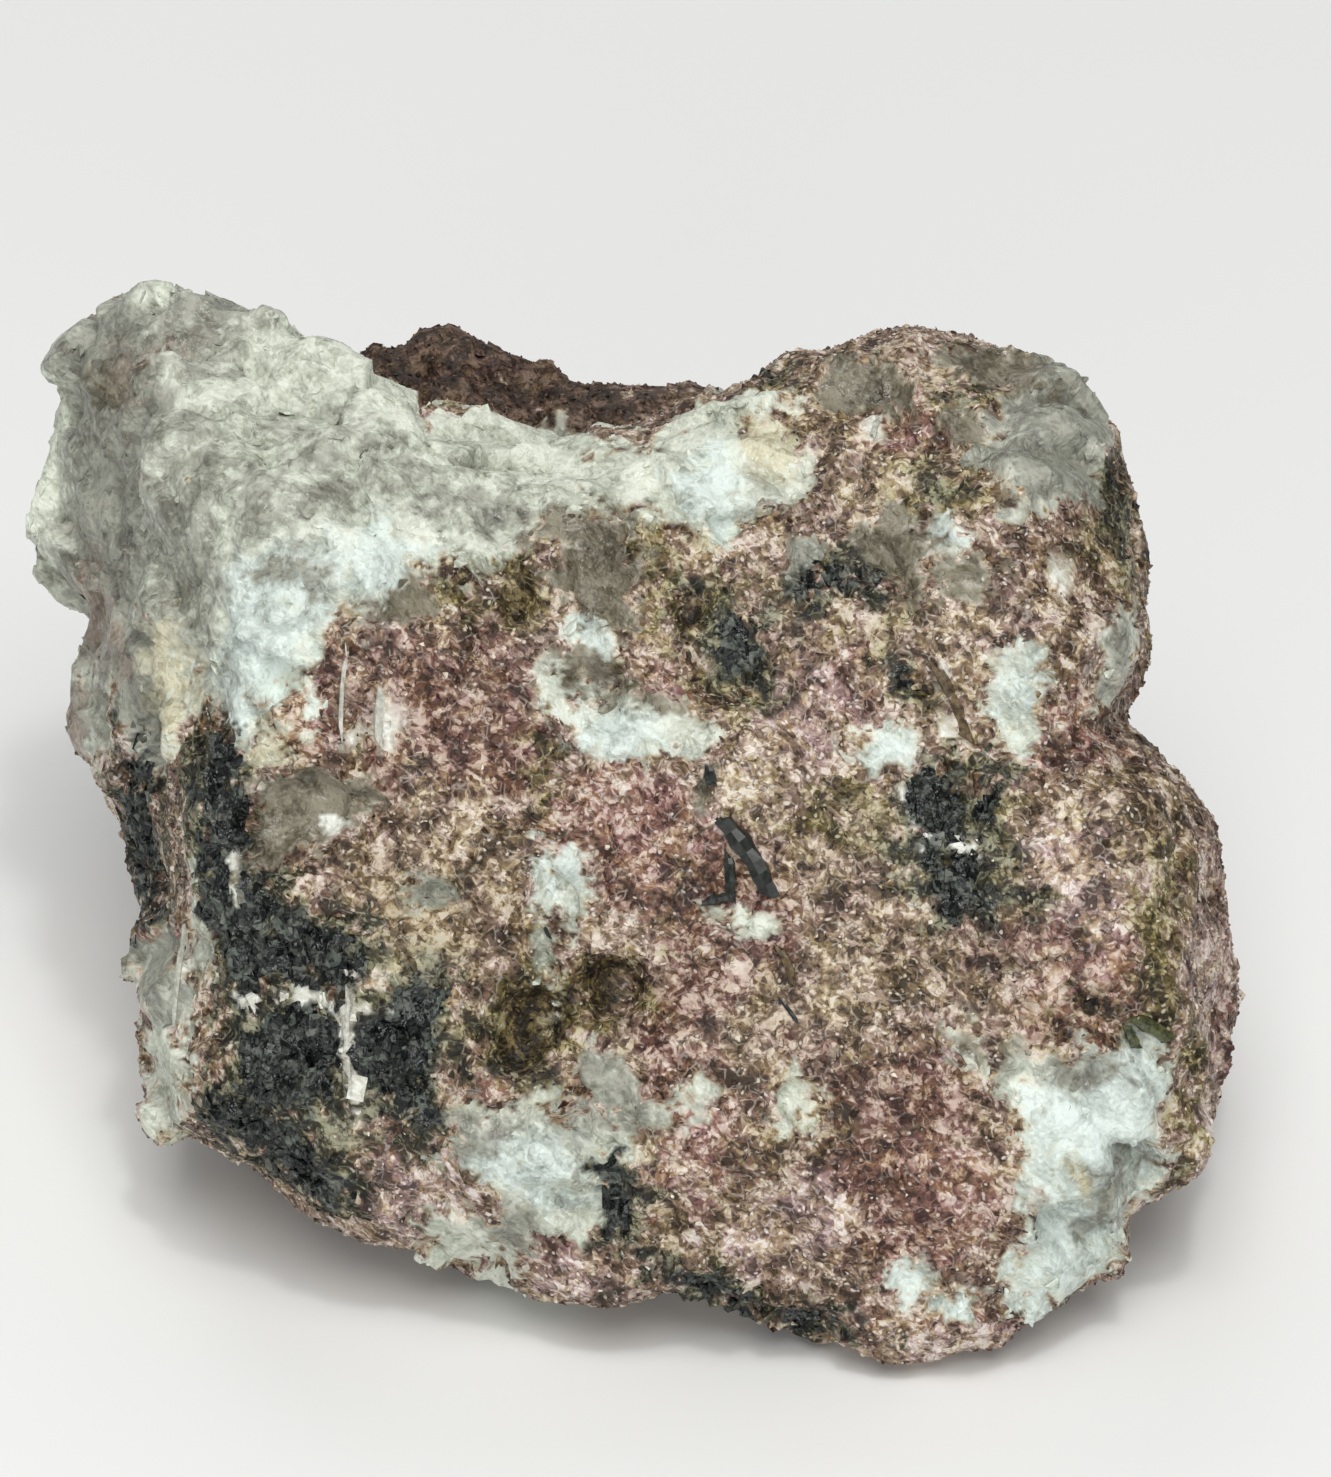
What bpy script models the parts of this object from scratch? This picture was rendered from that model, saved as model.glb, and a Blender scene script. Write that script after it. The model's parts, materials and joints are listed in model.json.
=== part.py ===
"""Pink tourmaline specimen: one rough block of granular tourmaline, quartz and schorl.

The block is designed in the frame of its broad showing face: u runs to the right along the face,
v runs up along it, and w points straight out of it. The face leans back, so that frame is then
turned about the X axis until the block stands on its resting spot. Lengths are in millimetres
until the last step, which writes metres with +Z up.
"""

import math

import bmesh
import bpy
import numpy as np
from mathutils import Vector, kdtree, noise

# Driving dimensions
MM = 0.001
FACE_LIFT = math.radians(35.0)
BASE_DROP = 39.5
HEART = (0.0, 0.0, -16.0)
SPHERE_STEPS = 7
TRIANGLES = 8600
EDGE_ROUNDING = 1.3
VIEW_DISTANCE = 700.0

# Edge of the showing face, anticlockwise from the right, as (u, v)
FACE_EDGE = [
    (57.2, 0.0), (52.8, 6.0), (48.9, 10.2), (49.8, 16.5), (50.6, 24.5), (50.8, 30.0),
    (49.0, 36.2), (46.4, 41.6), (41.2, 46.3), (35.4, 49.0), (29.6, 50.0), (21.9, 49.2),
    (14.8, 46.9), (8.0, 44.6), (2.6, 41.6), (-3.4, 40.6), (-10.6, 39.0), (-13.5, 40.0),
    (-17.0, 41.4), (-22.7, 42.2), (-27.0, 45.8), (-34.0, 50.6), (-39.5, 52.3), (-43.4, 54.4),
    (-46.6, 53.8), (-50.6, 54.4), (-54.2, 50.9), (-60.2, 46.2), (-61.6, 39.0), (-62.2, 30.8),
    (-60.6, 24.6), (-57.4, 20.6), (-58.8, 14.4), (-59.6, 9.6), (-54.4, 5.8), (-51.8, 0.5),
    (-50.6, -6.0), (-50.2, -11.0), (-50.8, -16.5), (-49.5, -23.0), (-48.4, -29.8),
    (-43.5, -31.6), (-37.9, -34.0), (-33.4, -37.8), (-27.5, -40.0), (-20.5, -41.4),
    (-14.6, -45.6), (-9.5, -47.0), (2.0, -47.7), (6.0, -47.0), (13.4, -48.8), (20.4, -51.4),
    (27.0, -52.8), (33.0, -52.2), (39.4, -50.4), (42.3, -47.0), (47.4, -45.2), (50.4, -40.6),
    (55.8, -38.8), (57.8, -33.4), (58.5, -26.0), (59.8, -19.0), (58.7, -12.0), (58.3, -6.0),
]

# Depth w at which the block is widest, by the direction round the face in degrees
WIDEST_DEPTH = [
    (0, 0.0), (30, -2.0), (60, -3.0), (90, 1.0), (120, -4.0), (150, -13.0),
    (180, -16.0), (212, -12.0), (240, 1.0), (270, 6.0), (300, 8.0), (330, 3.0),
]

# How far in front of the widest depth the side would close to a point
FRONT_REACH = [
    (0, 44.0), (30, 34.0), (60, 33.0), (90, 30.0), (120, 30.0), (150, 56.0),
    (180, 60.0), (215, 46.0), (240, 36.0), (270, 34.0), (300, 32.0), (330, 40.0),
]

# Dark knob behind the saddle, as (u, v) of its edge from right to left
KNOB_EDGE = [
    (14.0, 41.0), (8.0, 42.6), (1.5, 43.8), (-3.0, 45.4), (-7.6, 46.4), (-9.8, 48.4),
    (-13.0, 48.8), (-15.4, 50.4), (-18.6, 51.0), (-21.4, 50.4), (-23.4, 48.6), (-26.2, 47.0),
    (-31.0, 46.0), (-38.0, 44.0),
]
KNOB_FULL_DEPTH = -27.0
SADDLE_BACK_DEPTH = -14.0
SADDLE_DIP = (-11.0, 6.0, 7.0)
BACK_SHRINK = 0.93
BACK_TAPER = 0.0045

# Broken faces that bound the front: point (u, v, w), then the rise of w along u and along v
FRONT_FACES = [
    (5.0, -5.0, 19.0, 0.03, -0.06),      # the broad granular face
    (-44.0, 5.0, 13.0, 1.9, 0.05),       # left flank below and beside the white lobe
    (-30.0, 38.0, 15.0, 0.10, -0.55),    # white lobe, upper slope
    (0.0, 33.0, 15.5, 0.0, -0.85),       # slope into the saddle
    (28.0, 38.0, 14.5, -0.10, -0.70),    # right lobe, upper slope
    (42.0, 33.0, 12.5, -1.00, -0.45),    # grey glassy facet on the right lobe
    (55.5, -15.0, 12.0, -2.3, -0.10),    # right flank of the lower bulge
    (-20.0, -29.0, 17.0, 0.10, 0.48),    # lower left bevel
    (22.0, -46.0, 17.0, 0.05, 0.80),     # lower front edge
    (46.0, -36.0, 14.0, -0.50, 0.40),    # white corner at the lower right
]

# Broken faces behind and below: outward direction (x, y, z) and distance from the heart
REAR_FACES = [
    ((0.05, 1.00, 0.12), 43.5),          # back wall
    ((-0.75, 0.70, 0.10), 65.0),         # back left corner
    ((0.80, 0.66, 0.05), 55.0),          # back right corner
    ((0.42, 0.55, 0.72), 63.0),          # back slope above the right corner
    ((-0.52, 0.42, 0.75), 73.0),         # back slope above the left corner
    ((-0.138, -0.095, -0.986), 33.2),    # underside rising to the front left
    ((0.48, 0.05, -0.88), 42.0),         # underside rising to the right
    ((0.02, 0.40, -0.92), 34.0),         # underside rising to the back
]

# Swells (+) and hollows (-) on the front: u, v, reach along u, reach along v, turn, height
FRONT_RELIEF = [
    (-33.0, 27.0, 12.0, 13.0, 0, 3.2),    # belly of the white lobe
    (-20.0, 33.0, 7.0, 9.0, 30, -1.8),    # trough between the lobe and the saddle
    (-4.0, 37.0, 16.0, 5.0, 0, -2.2),     # saddle
    (-34.0, 1.5, 8.0, 4.5, 10, -1.9),     # smoky quartz pocket
    (-37.5, -20.0, 7.0, 7.0, 0, -1.6),    # black block, left
    (-24.0, -20.0, 5.0, 7.0, 0, 1.2),     # black block, right
    (-11.0, -19.5, 4.5, 4.5, 0, -2.2),    # olive pocket
    (-3.0, -16.0, 5.0, 3.5, 0, -1.8),     # brown pocket
    (-14.0, -31.0, 12.0, 4.0, -10, 1.8),  # white ledge
    (4.0, 22.0, 9.0, 10.0, 0, -1.6),      # grey quartz hollow
    (3.0, 8.0, 9.0, 5.0, -20, 1.4),       # white lens
    (47.0, 11.0, 9.0, 5.5, 20, -4.0),     # waist on the right
    (44.0, -12.0, 12.0, 15.0, 0, 1.8),    # lower right bulge
    (31.0, -2.0, 6.0, 8.0, 0, -1.4),      # black patch, right
    (25.0, 27.0, 6.0, 5.0, 0, -1.2),      # glassy quartz, right
    (-48.0, -8.0, 3.0, 14.0, 3, -2.6),    # groove down the left flank
    (12.0, -32.0, 14.0, 7.0, 15, 1.4),    # granular swell low on the face
    (15.0, 6.0, 14.0, 4.0, -35, 1.0),     # granular swell across the middle
]

# Natural roughness: size and height of the lumps
LUMPS = [(38.0, 1.6), (15.0, 0.7), (7.0, 0.3)]

# Flat flakes: size, tilt, width of the ledge between two of them, seed
FLAKES = [(18.0, 0.085, 2.2, 11), (9.0, 0.09, 1.5, 23)]
FLAKES_MIXED = 3

# Height over which the roughness fades in above the resting spot, so that the spot has no pits
CALM_HEIGHT = 4.0

ROCK_ROSE = (0.36, 0.20, 0.18, 1.0)


def clear_scene():
    for obj in list(bpy.data.objects):
        bpy.data.objects.remove(obj, do_unlink=True)


def collection(name):
    made = bpy.data.collections.new(name)
    bpy.context.scene.collection.children.link(made)
    return made


def material(name, colour, roughness):
    made = bpy.data.materials.new(name)
    made.use_nodes = True
    surface = made.node_tree.nodes["Principled BSDF"]
    surface.inputs["Base Color"].default_value = colour
    surface.inputs["Roughness"].default_value = roughness
    return made


def by_direction(angle, table):
    """A value read round the face from (degrees, value) pairs, in a closed loop."""
    degrees, values = np.array(table, float).T
    return np.interp(np.degrees(angle) % 360.0, degrees, values, period=360.0)


def edge_radius(angle, edge):
    """Distance from the face's centre to an edge given as (u, v) points, along an angle."""
    points = np.array(edge, float)
    around = np.degrees(np.arctan2(points[:, 1], points[:, 0])) % 360.0
    order = np.argsort(around)
    reach = np.hypot(points[:, 0], points[:, 1])
    return np.interp(np.degrees(angle) % 360.0, around[order], reach[order], period=360.0)


def smooth_step(x):
    x = np.clip(x, 0.0, 1.0)
    return x * x * (3.0 - 2.0 * x)


def knob_share(angle):
    """1 in the directions of the knob, 0 away from it."""
    ends = np.degrees([math.atan2(v, u) for u, v in (KNOB_EDGE[0], KNOB_EDGE[-1])])
    inside = (np.degrees(angle) % 360.0 - ends[0]) / (ends[1] - ends[0])
    return smooth_step(inside * 6.0) * smooth_step((1.0 - inside) * 6.0)


def rear_radius(angle):
    """Edge of the block well behind the face: a smaller copy of the face, with the knob on top."""
    plain = edge_radius(angle, FACE_EDGE) * BACK_SHRINK
    knob = edge_radius(angle, KNOB_EDGE) * (1.0 - KNOB_FULL_DEPTH / VIEW_DISTANCE)
    return plain + (knob - plain) * knob_share(angle)


def outside_edge(p):
    """How far points (u, v, w) lie outside the block's side, in mm."""
    angle = np.arctan2(p[:, 1], p[:, 0])
    widest = by_direction(angle, WIDEST_DEPTH)
    reach = by_direction(angle, FRONT_REACH)
    ahead = np.clip((p[:, 2] - widest) / reach, 0.0, 0.999)
    seen_larger = 1.0 - widest / VIEW_DISTANCE
    front = edge_radius(angle, FACE_EDGE) * seen_larger * np.sqrt(1.0 - ahead ** 2)
    behind = np.clip(KNOB_FULL_DEPTH - p[:, 2], 0.0, None)
    rear = rear_radius(angle) * (1.0 - BACK_TAPER * behind)
    share = smooth_step((p[:, 2] - KNOB_FULL_DEPTH) / (SADDLE_BACK_DEPTH - KNOB_FULL_DEPTH))
    dip_depth, dip_reach, dip = SADDLE_DIP
    dip_share = knob_share(angle) * np.exp(-((p[:, 2] - dip_depth) / dip_reach) ** 2)
    return np.hypot(p[:, 0], p[:, 1]) - (rear + (front - rear) * share - dip * dip_share)


def relief(u, v):
    """Height of the swells and hollows of the front at (u, v)."""
    total = np.zeros_like(u)
    for at_u, at_v, reach_u, reach_v, turn, height in FRONT_RELIEF:
        c, s = math.cos(math.radians(turn)), math.sin(math.radians(turn))
        along = ((u - at_u) * c + (v - at_v) * s) / reach_u
        across = ((v - at_v) * c - (u - at_u) * s) / reach_v
        total += height * np.exp(-(along ** 2 + across ** 2))
    return total


def outside_front(p):
    """Distances in front of each broken face of the front, in mm."""
    lift = relief(p[:, 0], p[:, 1])
    for u, v, w, rise_u, rise_v in FRONT_FACES:
        level = w + lift + rise_u * (p[:, 0] - u) + rise_v * (p[:, 1] - v)
        yield (p[:, 2] - level) / math.sqrt(1.0 + rise_u ** 2 + rise_v ** 2)


def to_upright(p):
    """Points (u, v, w) of the face's frame, in the frame of the standing block."""
    c, s = math.cos(FACE_LIFT), math.sin(FACE_LIFT)
    return np.stack([p[:, 0], p[:, 1] * s - p[:, 2] * c, p[:, 1] * c + p[:, 2] * s], axis=1)


def outside_rear(p):
    """Distances behind each broken face of the back and the underside, in mm."""
    from_heart = to_upright(p - np.array(HEART))
    for direction, distance in REAR_FACES:
        normal = np.array(Vector(direction).normalized())
        yield from_heart @ normal - distance


def outside_block(p):
    """Above zero outside the block, with the edges between broken faces slightly rounded."""
    terms = np.stack([outside_edge(p), *outside_front(p), *outside_rear(p)])
    top = terms.max(axis=0)
    soft = np.exp((terms - top) / EDGE_ROUNDING).sum(axis=0)
    return top + EDGE_ROUNDING * np.log(soft)


def surface_distance(directions):
    """Distance from the heart to the outermost surface along each direction."""
    far, near, steps = 120.0, 10.0, 90
    heart = np.array(HEART)
    outer = np.full(len(directions), far)
    found = np.zeros(len(directions), bool)
    inner = np.full(len(directions), near)
    for distance in np.linspace(far, near, steps):
        inside = outside_block(heart + directions * distance) < 0.0
        inner[inside & ~found] = distance
        found |= inside
        outer[~found] = distance
    for _ in range(14):
        middle = (inner + outer) / 2.0
        inside = outside_block(heart + directions * middle[:, None]) < 0.0
        inner = np.where(inside, middle, inner)
        outer = np.where(inside, outer, middle)
    return (inner + outer) / 2.0


def lumpiness(points):
    """Soft lumps at several sizes."""
    total = np.zeros(len(points))
    for size, height in LUMPS:
        shift = Vector((size * 1.7, -size * 0.6, size * 0.9))
        total += [height * noise.noise((Vector(p) + shift) / size) for p in points]
    return total


def flakiness(points, size, tilt, ledge, seed):
    """Flat flakes with steps between them: each cell of broken rock has a tilt of its own."""
    rng = np.random.default_rng(seed)
    low, high = points.min(axis=0) - size, points.max(axis=0) + size
    grid = np.stack(np.meshgrid(*[np.arange(a, b, size) for a, b in zip(low, high)]), axis=-1)
    seeds = grid.reshape(-1, 3) + rng.uniform(-0.45, 0.45, (grid.size // 3, 3)) * size
    slopes = rng.normal(0.0, tilt, seeds.shape)
    tree = kdtree.KDTree(len(seeds))
    for index, seed_point in enumerate(seeds):
        tree.insert(seed_point, index)
    tree.balance()
    nearest = [tree.find_n(p, FLAKES_MIXED) for p in points]
    index = np.array([[found[1] for found in three] for three in nearest])
    away = np.array([[found[2] for found in three] for three in nearest])
    share = np.exp((away[:, :1] - away) / ledge)
    heights = ((points[:, None] - seeds[index]) * slopes[index]).sum(axis=2)
    return (heights * share).sum(axis=1) / share.sum(axis=1)


def rough_block():
    """The whole block as a fine mesh, in the upright frame, in mm."""
    bm = bmesh.new()
    bmesh.ops.create_icosphere(bm, subdivisions=SPHERE_STEPS, radius=1.0)
    directions = np.array([v.co.normalized() for v in bm.verts])
    distance = surface_distance(directions)
    points = np.array(HEART) + directions * distance[:, None]
    height = to_upright(points)[:, 2] + BASE_DROP
    roughness = lumpiness(points)
    for size, tilt, ledge, seed in FLAKES:
        roughness += flakiness(points, size, tilt, ledge, seed)
    distance += roughness * smooth_step(height / CALM_HEIGHT)
    points = to_upright(np.array(HEART) + directions * distance[:, None])
    for vertex, place in zip(bm.verts, points):
        vertex.co = place
    axes = {"use_axis_x": True, "use_axis_y": True, "use_axis_z": True}
    bmesh.ops.smooth_vert(bm, verts=bm.verts, factor=0.5, **axes)
    bmesh.ops.recalc_face_normals(bm, faces=bm.faces)
    return bm


def thinned(bm):
    """The mesh with its flat places held by fewer, larger triangles."""
    mesh = bpy.data.meshes.new("fine")
    bm.to_mesh(mesh)
    holder = bpy.data.objects.new("fine", mesh)
    bpy.context.scene.collection.objects.link(holder)
    thin = holder.modifiers.new("thin", "DECIMATE")
    thin.ratio = TRIANGLES / len(bm.faces)
    graph = bpy.context.evaluated_depsgraph_get()
    made = bpy.data.meshes.new_from_object(holder.evaluated_get(graph))
    bpy.data.objects.remove(holder)
    bm.clear()
    bm.from_mesh(made)
    bpy.data.meshes.remove(made)
    return bm


def cut_resting_spot(bm):
    """Cuts the small flat spot that the block rests on, BASE_DROP below the face's centre."""
    geometry = [*bm.verts, *bm.edges, *bm.faces]
    cut = bmesh.ops.bisect_plane(
        bm, geom=geometry, dist=0.0001,
        plane_co=(0.0, 0.0, -BASE_DROP), plane_no=(0.0, 0.0, -1.0), clear_outer=True,
    )
    rim = [e for e in cut["geom_cut"] if isinstance(e, bmesh.types.BMEdge)]
    spot = bmesh.ops.holes_fill(bm, edges=rim)["faces"]
    bmesh.ops.triangulate(bm, faces=spot)
    bmesh.ops.recalc_face_normals(bm, faces=bm.faces)
    return bm


def set_on_origin(bm):
    """Scales to metres, with the middle of the block's box over the origin and the spot at z = 0."""
    points = np.array([v.co for v in bm.verts])
    middle = (points.min(axis=0) + points.max(axis=0)) / 2.0
    for vertex in bm.verts:
        vertex.co.x = (vertex.co.x - middle[0]) * MM
        vertex.co.y = (vertex.co.y - middle[1]) * MM
        vertex.co.z = (vertex.co.z + BASE_DROP) * MM
        if abs(vertex.co.z) < 0.00001:
            vertex.co.z = 0.0
    print("middle of the face's frame over the origin, mm:", np.round(middle, 2))


def build():
    clear_scene()
    bm = rough_block()
    thinned(bm)
    cut_resting_spot(bm)
    set_on_origin(bm)
    mesh = bpy.data.meshes.new("tourmaline_rock")
    bm.to_mesh(mesh)
    bm.free()
    mesh.materials.append(material("granular_tourmaline", ROCK_ROSE, 0.6))
    rock = bpy.data.objects.new("tourmaline_rock", mesh)
    collection("pink_tourmaline_specimen").objects.link(rock)
    print("triangles:", len(mesh.polygons))


build()
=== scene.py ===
# %% [markdown]
# # A pink tourmaline specimen
#
# The object is one rough block of rock, a hand wide. Most of it is sugary pink tourmaline: grains a
# millimetre across that catch the light one by one. Milky quartz makes the lobe at the upper left and
# a band over the saddle, black schorl sits in broken blocks at the lower left, and smoky quartz and
# olive tourmaline fill smaller pockets.
#
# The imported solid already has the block's true outline, lobes, bevels and ledges. This script lays a
# fine skin over it, decides which mineral each place is made of, and then sets thousands of small
# faceted grains and crystals into that skin, the way the real rock is built.

# %% Blender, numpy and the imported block
import json
import math

import bmesh
import bpy
import numpy as np
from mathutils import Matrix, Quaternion, Vector, kdtree, noise
from mathutils.bvhtree import BVHTree

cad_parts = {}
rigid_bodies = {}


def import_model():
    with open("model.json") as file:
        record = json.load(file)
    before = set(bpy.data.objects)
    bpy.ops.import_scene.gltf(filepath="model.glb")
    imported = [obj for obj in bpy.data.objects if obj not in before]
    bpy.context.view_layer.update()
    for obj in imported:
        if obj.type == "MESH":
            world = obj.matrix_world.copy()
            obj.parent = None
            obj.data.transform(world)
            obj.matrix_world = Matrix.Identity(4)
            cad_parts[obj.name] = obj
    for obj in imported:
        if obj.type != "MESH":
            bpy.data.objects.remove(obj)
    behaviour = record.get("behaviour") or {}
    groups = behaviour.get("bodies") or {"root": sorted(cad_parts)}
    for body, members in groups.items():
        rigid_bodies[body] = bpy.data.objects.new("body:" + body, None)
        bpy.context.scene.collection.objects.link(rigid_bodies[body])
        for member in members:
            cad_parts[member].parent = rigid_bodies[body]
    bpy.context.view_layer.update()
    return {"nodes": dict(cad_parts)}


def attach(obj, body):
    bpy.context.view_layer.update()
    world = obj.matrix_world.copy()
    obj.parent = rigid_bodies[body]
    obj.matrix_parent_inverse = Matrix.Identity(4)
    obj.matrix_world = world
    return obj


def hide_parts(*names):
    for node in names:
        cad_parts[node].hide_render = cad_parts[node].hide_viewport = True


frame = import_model()
block = frame["nodes"]["tourmaline_rock"]
MM = 0.001

# %% [markdown]
# ## The camera
#
# The photo looks down at the block's broad face, which leans back by 35 degrees, from 700 mm away. It
# helps to measure everything else in that face's own frame: `u` to the right, `v` up along the face
# and `w` out of it, in millimetres, with the block's own middle at a known place. The camera then
# stands on the `w` axis, and a spot seen in the photo is simply a pair `(u, v)`.

# %% The face's frame and the camera
FACE_LIFT = math.radians(35.0)
FACE_MIDDLE = (-0.15, 11.29)
FACE_HEIGHT = 39.5
VIEW_DISTANCE = 700.0
VIEW_CENTRE = (2.55, 9.15)
PHOTO_HEIGHT = 147.7

RIGHT = np.array([1.0, 0.0, 0.0])
UP_FACE = np.array([0.0, math.sin(FACE_LIFT), math.cos(FACE_LIFT)])
OUT_FACE = np.array([0.0, -math.cos(FACE_LIFT), math.sin(FACE_LIFT)])
FACE_ORIGIN = np.array([-FACE_MIDDLE[0], -FACE_MIDDLE[1], FACE_HEIGHT])


def from_face(u, v, w):
    """A point of the face's frame, in the block's frame, in mm."""
    return FACE_ORIGIN + u * RIGHT + v * UP_FACE + w * OUT_FACE


eye = from_face(*VIEW_CENTRE, VIEW_DISTANCE)
camera_data = bpy.data.cameras.new("camera")
camera_data.sensor_fit = "VERTICAL"
camera_data.sensor_height = 36.0
camera_data.lens = 36.0 * VIEW_DISTANCE / PHOTO_HEIGHT
camera_data.clip_start = 0.01
camera_data.clip_end = 20.0
camera = bpy.data.objects.new("camera", camera_data)
camera.location = Vector(eye * MM)
camera.rotation_euler = (math.pi / 2 - FACE_LIFT, 0.0, 0.0)
bpy.context.scene.collection.objects.link(camera)
bpy.context.scene.camera = camera
print("lens:", round(camera_data.lens, 1), "mm")

# %% [markdown]
# ## Floor and light
#
# The block is shown on a plain pale floor in soft studio light. One large lamp above and in front
# does most of the work, a second fills the lower bevel, and a small bright one makes the glints on
# the grains. The sky is an even white, so that no side is ever black.

# %% Floor, lamps and sky
def lamp(name, place, size, power, colour=(1.0, 1.0, 1.0)):
    """A square soft lamp at a place in metres, turned towards the block."""
    data = bpy.data.lights.new(name, "AREA")
    data.size = size
    data.energy = power
    data.color = colour
    made = bpy.data.objects.new(name, data)
    made.location = place
    towards = Vector((0.0, 0.0, 0.04)) - Vector(place)
    made.rotation_euler = towards.to_track_quat("-Z", "Y").to_euler()
    bpy.context.scene.collection.objects.link(made)
    return made


lamp("main_light", (0.05, -0.50, 1.10), 0.75, 8.4, (1.0, 0.995, 0.975))
lamp("fill_light", (-0.10, -1.00, 0.20), 0.80, 3.7, (0.98, 0.99, 1.0))
lamp("glint_light", (0.10, -0.35, 1.00), 0.10, 1.6)
lamp("back_light", (-0.20, 0.80, 0.80), 0.80, 2.6)

sky = bpy.data.worlds.new("sky")
sky.use_nodes = True
sky.node_tree.nodes["Background"].inputs["Color"].default_value = (0.96, 0.98, 1.0, 1.0)
sky.node_tree.nodes["Background"].inputs["Strength"].default_value = 0.27
bpy.context.scene.world = sky
bpy.context.scene.view_settings.view_transform = "Standard"

floor_bm = bmesh.new()
bmesh.ops.create_grid(floor_bm, x_segments=1, y_segments=1, size=3.0)
floor_mesh = bpy.data.meshes.new("floor")
floor_bm.to_mesh(floor_mesh)
floor_bm.free()
floor = bpy.data.objects.new("floor", floor_mesh)
bpy.context.scene.collection.objects.link(floor)
floor_paint = bpy.data.materials.new("pale_floor")
floor_paint.use_nodes = True
floor_surface = floor_paint.node_tree.nodes["Principled BSDF"]
floor_surface.inputs["Base Color"].default_value = (0.86, 0.86, 0.85, 1.0)
floor_surface.inputs["Roughness"].default_value = 0.9
floor_mesh.materials.append(floor_paint)

# %% [markdown]
# ## A fine skin over the block
#
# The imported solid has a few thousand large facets. To carry small ledges, pits and colour borders,
# a copy of it is rebuilt with the Remesh modifier in voxel mode, which covers the same shape with
# even little squares. The solid's own mesh is loose triangles, so the copy is merged first. Later
# the skin is thinned again under the grains, where it is hardly seen.

# %% The skin's even mesh
SKIN_CELL = 0.50


def merged_copy(node):
    """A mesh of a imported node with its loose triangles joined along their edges."""
    bm = bmesh.new()
    bm.from_mesh(node.data)
    bmesh.ops.remove_doubles(bm, verts=bm.verts, dist=0.000002)
    mesh = bpy.data.meshes.new("merged")
    bm.to_mesh(mesh)
    bm.free()
    return mesh


def applied(obj):
    """The object's mesh with its modifiers applied, and the object removed."""
    graph = bpy.context.evaluated_depsgraph_get()
    mesh = bpy.data.meshes.new_from_object(obj.evaluated_get(graph))
    bpy.data.objects.remove(obj)
    return mesh


rough = bpy.data.objects.new("rough", merged_copy(block))
bpy.context.scene.collection.objects.link(rough)
even = rough.modifiers.new("even", "REMESH")
even.mode = "VOXEL"
even.voxel_size = SKIN_CELL * MM
skin_mesh = applied(rough)
print("skin:", len(skin_mesh.polygons), "squares")

# %% Places and directions of the skin's points
def mesh_points(mesh):
    """The mesh's vertices in mm."""
    places = np.empty(len(mesh.vertices) * 3, np.float32)
    mesh.vertices.foreach_get("co", places)
    return places.reshape(-1, 3).astype(float) / MM


def mesh_directions(mesh):
    """The outward direction at each vertex."""
    normals = np.empty(len(mesh.vertices) * 3, np.float32)
    mesh.vertex_normals.foreach_get("vector", normals)
    return normals.reshape(-1, 3).astype(float)


points = mesh_points(skin_mesh)
outward = mesh_directions(skin_mesh)
sight_tree = BVHTree.FromPolygons(
    [Vector(p) for p in points], [tuple(face.vertices) for face in skin_mesh.polygons]
)

# %% [markdown]
# ## Which mineral is where
#
# Each mineral is a set of patches. A patch is written as it is seen in the photo: its middle
# `(u, v)`, its half width and half height, and its turn in degrees. A ray from the camera finds the
# place on the block that is seen there, so a patch sits on the rock itself and looks right from any
# side. It is an ellipsoid, and how deep a point lies inside it, in millimetres, decides later how
# strongly that mineral shows. Later layers lie over earlier ones.

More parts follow.
